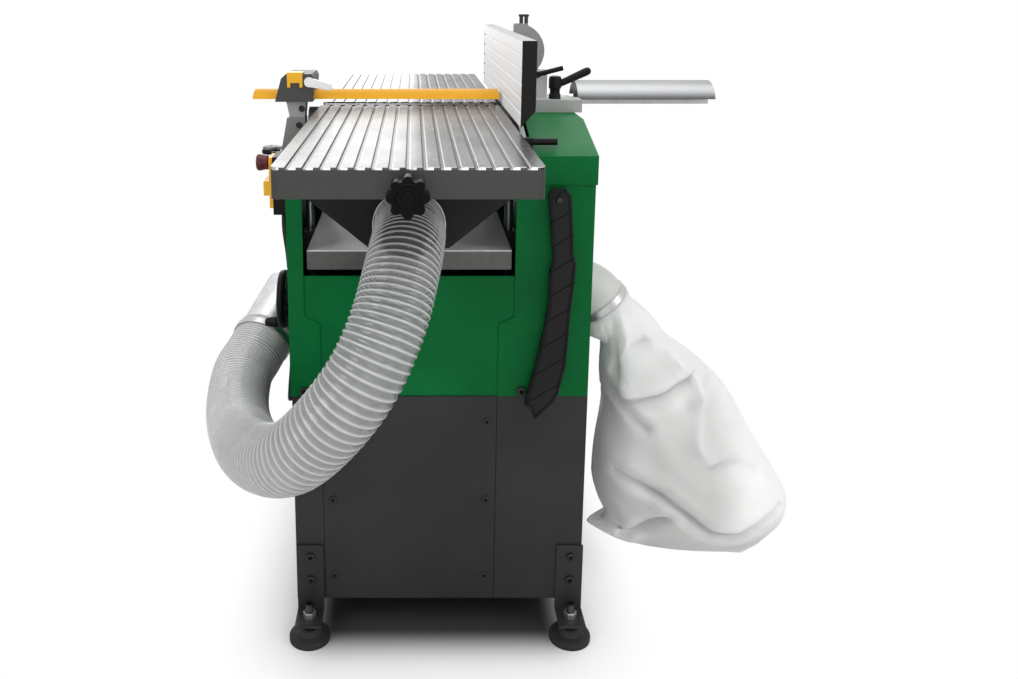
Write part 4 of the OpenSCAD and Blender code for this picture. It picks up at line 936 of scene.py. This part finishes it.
pale_casting = die_casting("pale_die_casting", (0.46, 0.46, 0.455), (0.60, 0.60, 0.595))
formed("fence_carriage", pale_casting, 1.0)
screw_low, screw_high = 0.9958, 0.9966
quadrant_casting = die_casting("quadrant_casting", (0.17, 0.17, 0.168), (0.25, 0.25, 0.248))
quadrant_casting.give(Base_Color=quadrant_casting.mix(
    quadrant_casting.band(quadrant_casting.axis("Z"), screw_low, screw_high),
    quadrant_casting.given["Base_Color"],
    quadrant_casting.mix(quadrant_casting.speckle(4), (0.012, 0.012, 0.013), (0.030, 0.030, 0.032))))
formed("fence_quadrant", quadrant_casting, 1.0)
stop_head = ((0.0, 0.0036), (0.0004, 0.0050), (0.0034, 0.0050), (0.0044, 0.0042), (0.0046, 0.0020))
for i, x in enumerate((204, 213)):
    turned("stop_screw_head_%d" % i, spot(x, 6, 1008), (0, 0, 1), stop_head, black_steel,
           body_with["fence_quadrant"])


# Rear cutter guard. A curved sheet of brushed aluminium on a slide bar, which follows the fence
# and covers the block behind it.
bend_low, bend_high = 0.863, 0.884
guard_sheet = turned_steel("brushed_guard_sheet", (0.30, 0.305, 0.31), (0.42, 0.425, 0.43), 0.32,
                           (0.02, 1, 1), cloud_share=0.0)
# Below the bend the sheet is painted near black: painted shade under its curve.
painted_shade_under_bend = 1 - guard_sheet.band(guard_sheet.axis("Z"), bend_low, bend_high)
guard_sheet.give(
    Specular_Tint=(0.40, 0.40, 0.40),
    Base_Color=guard_sheet.mix(painted_shade_under_bend, guard_sheet.given["Base_Color"], (0.07, 0.072, 0.074)))
formed("rear_guard", guard_sheet, 0.6)


# Fence base and its clamps. A pale grey painted casting bolted to the drive housing, with a
# black moulded lever for the tilt and one with a turned hub and grip for the slide.
base_paint = powder_coat("pale_grey_paint", (0.32, 0.324, 0.316), (0.39, 0.394, 0.386), 2.4)
formed("fence_base", base_paint, 1.5)
formed("tilt_lever", black_moulding, 1.4)
lock_body, lock_slot = body_with["fence_lock_lever"], slot_of["fence_lock_lever"]
hub_profile = ((0.0, 0.0049), (0.0175, 0.0049), (0.0175, 0.0106), (0.0270, 0.0100), (0.0290, 0.0086),
               (0.0360, 0.0090), (0.0380, 0.0110), (0.0540, 0.0110), (0.0580, 0.0094), (0.0590, 0.0060))
grip_profile = ((0.0, 0.0056), (0.0060, 0.0060), (0.0520, 0.0072), (0.0570, 0.0066), (0.0600, 0.0046),
                (0.0612, 0.0020))
lock_hub = turned("fence_lock_hub", spot(256, -82, 849), (0, 0, 1), hub_profile, black_moulding, lock_body)
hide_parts("fence_lock_lever")
turned("fence_lock_grip", spot(262, -82, 893), (54, 0, 25), grip_profile, black_moulding, lock_body)


# Bridge guard. A grey cast post with a riser, a dark grey moulded head that clamps the arched
# orange arm, a yellow latch, a plated lever and a black height knob.
post_casting = die_casting("post_casting", (0.15, 0.15, 0.146), (0.22, 0.22, 0.215))
formed("guard_post", post_casting, 2.0, steps=3)
riser_casting = die_casting("riser_casting", (0.24, 0.24, 0.235), (0.33, 0.33, 0.325))
formed("guard_riser", riser_casting, 2.0, steps=3)
head_plastic = moulding("grey_moulded_plastic", (0.042, 0.042, 0.043), (0.060, 0.060, 0.061), 0.42)
formed("guard_head", head_plastic, 2.5, steps=3)
orange_coat = powder_coat("orange_coat", (0.64, 0.31, 0.012), (0.72, 0.36, 0.020), 1.0, 0.08)
formed("guard_arm", orange_coat, 0.8)
yellow_moulding = moulding("yellow_moulded_plastic", (0.80, 0.40, 0.010), (0.86, 0.46, 0.022), 0.3)
formed("guard_latch", yellow_moulding, 0.8)
formed("guard_lever", bright_steel, 1.2)
formed("guard_knob", black_moulding, 2.0, steps=3)
screw_head = ((0.0, 0.0056), (0.0030, 0.0056), (0.0038, 0.0046), (0.0038, 0.0030), (0.0012, 0.0028))
for name, place, body in (("post_screw", spot(-201.3, -39.8, 815), "machine"),
                          ("riser_screw", spot(-196, -37.8, 845), "guard_mast")):
    turned(name, place, (0, -1, 0), screw_head, black_steel, body)


# Switch. A black moulded box on the left wall, with a yellow flap on an upright pin and a red
# stop button that presses in.
formed("switch_box", black_moulding, 2.0, steps=3)
formed("switch_flap", yellow_moulding, 1.6, steps=3)
red_moulding = moulding("red_moulded_plastic", (0.072, 0.008, 0.011), (0.098, 0.011, 0.014), 0.3)
formed("estop_button", red_moulding, 1.4, corner=24, steps=3)


# Push stick. Moulded in black plastic with a raised rim and engraved cross lines, and hung on
# its peg.
line_spacing, line_lean, line_start = 0.039, 0.62, 0.35
stick_plastic = moulding("push_stick_plastic", (0.010, 0.010, 0.0105), (0.016, 0.016, 0.0165), 0.42,
                         gloss=0.12)
line_share = stick_plastic.maths(
    "FRACT", (stick_plastic.axis("Z") - line_lean * stick_plastic.axis("X")) / line_spacing + line_start)
# The engraved lines are cut into the relief and also painted near black, as painted shade in the lines.
line_cut_and_shade = stick_plastic.band(line_share, 0.0, 0.02) * (1 - stick_plastic.band(line_share, 0.05, 0.07))
stick_plastic.give(
    Base_Color=stick_plastic.mix(line_cut_and_shade, stick_plastic.given["Base_Color"], (0.0008, 0.0008, 0.0008)),
    Normal=stick_plastic.relief(1 - line_cut_and_shade, 0.7, 0.0015, stick_plastic.given["Normal"]))
formed("push_stick", stick_plastic, 1.4)
stick_edge = [Vector(q) for q in (
    (-16, 8), (-10, 16), (10, 16), (18, 6), (23, -54), (24, -84), (29, -100), (27, -135), (23, -175),
    (21, -221), (18, -268), (8, -313), (1, -327), (-28, -357), (-36, -336), (-43, -333), (-39, -308),
    (-30, -271), (-23, -238), (-16, -202), (-11, -162), (-11, -116), (-6, -95), (-9, -69), (-12, -29))]
peg_x, peg_z = 227, 744
rim_outside, rim_inside, rim_root, rim_crest = 1.6, 4.2, -351.6, -353.4


def inset(edge, depth):
    """The outline moved inwards, corner by corner."""
    moved = []
    for before, here, after in zip(edge[-1:] + edge[:-1], edge, edge[1:] + edge[:1]):
        one, two = (here - before).normalized(), (after - here).normalized()
        left = Vector((one.y + two.y, -one.x - two.x)).normalized()
        moved.append(here + left * depth / max(0.5, left.dot(Vector((one.y, -one.x)))))
    return moved


rim_rows = ((rim_outside, rim_root), (rim_outside, rim_crest), (rim_inside, rim_crest),
            (rim_inside, rim_root))
rim_points = [spot(peg_x + q.x, y, peg_z + q.y) for depth, y in rim_rows for q in inset(stick_edge, depth)]
rim_faces = tube_faces(len(rim_rows), len(stick_edge), closed=True)
stick_rim = solid_piece("push_stick_rim", rim_points, rim_faces, black_moulding, smooth=False)
faces_out(stick_rim)
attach(stick_rim, body_with["push_stick"])
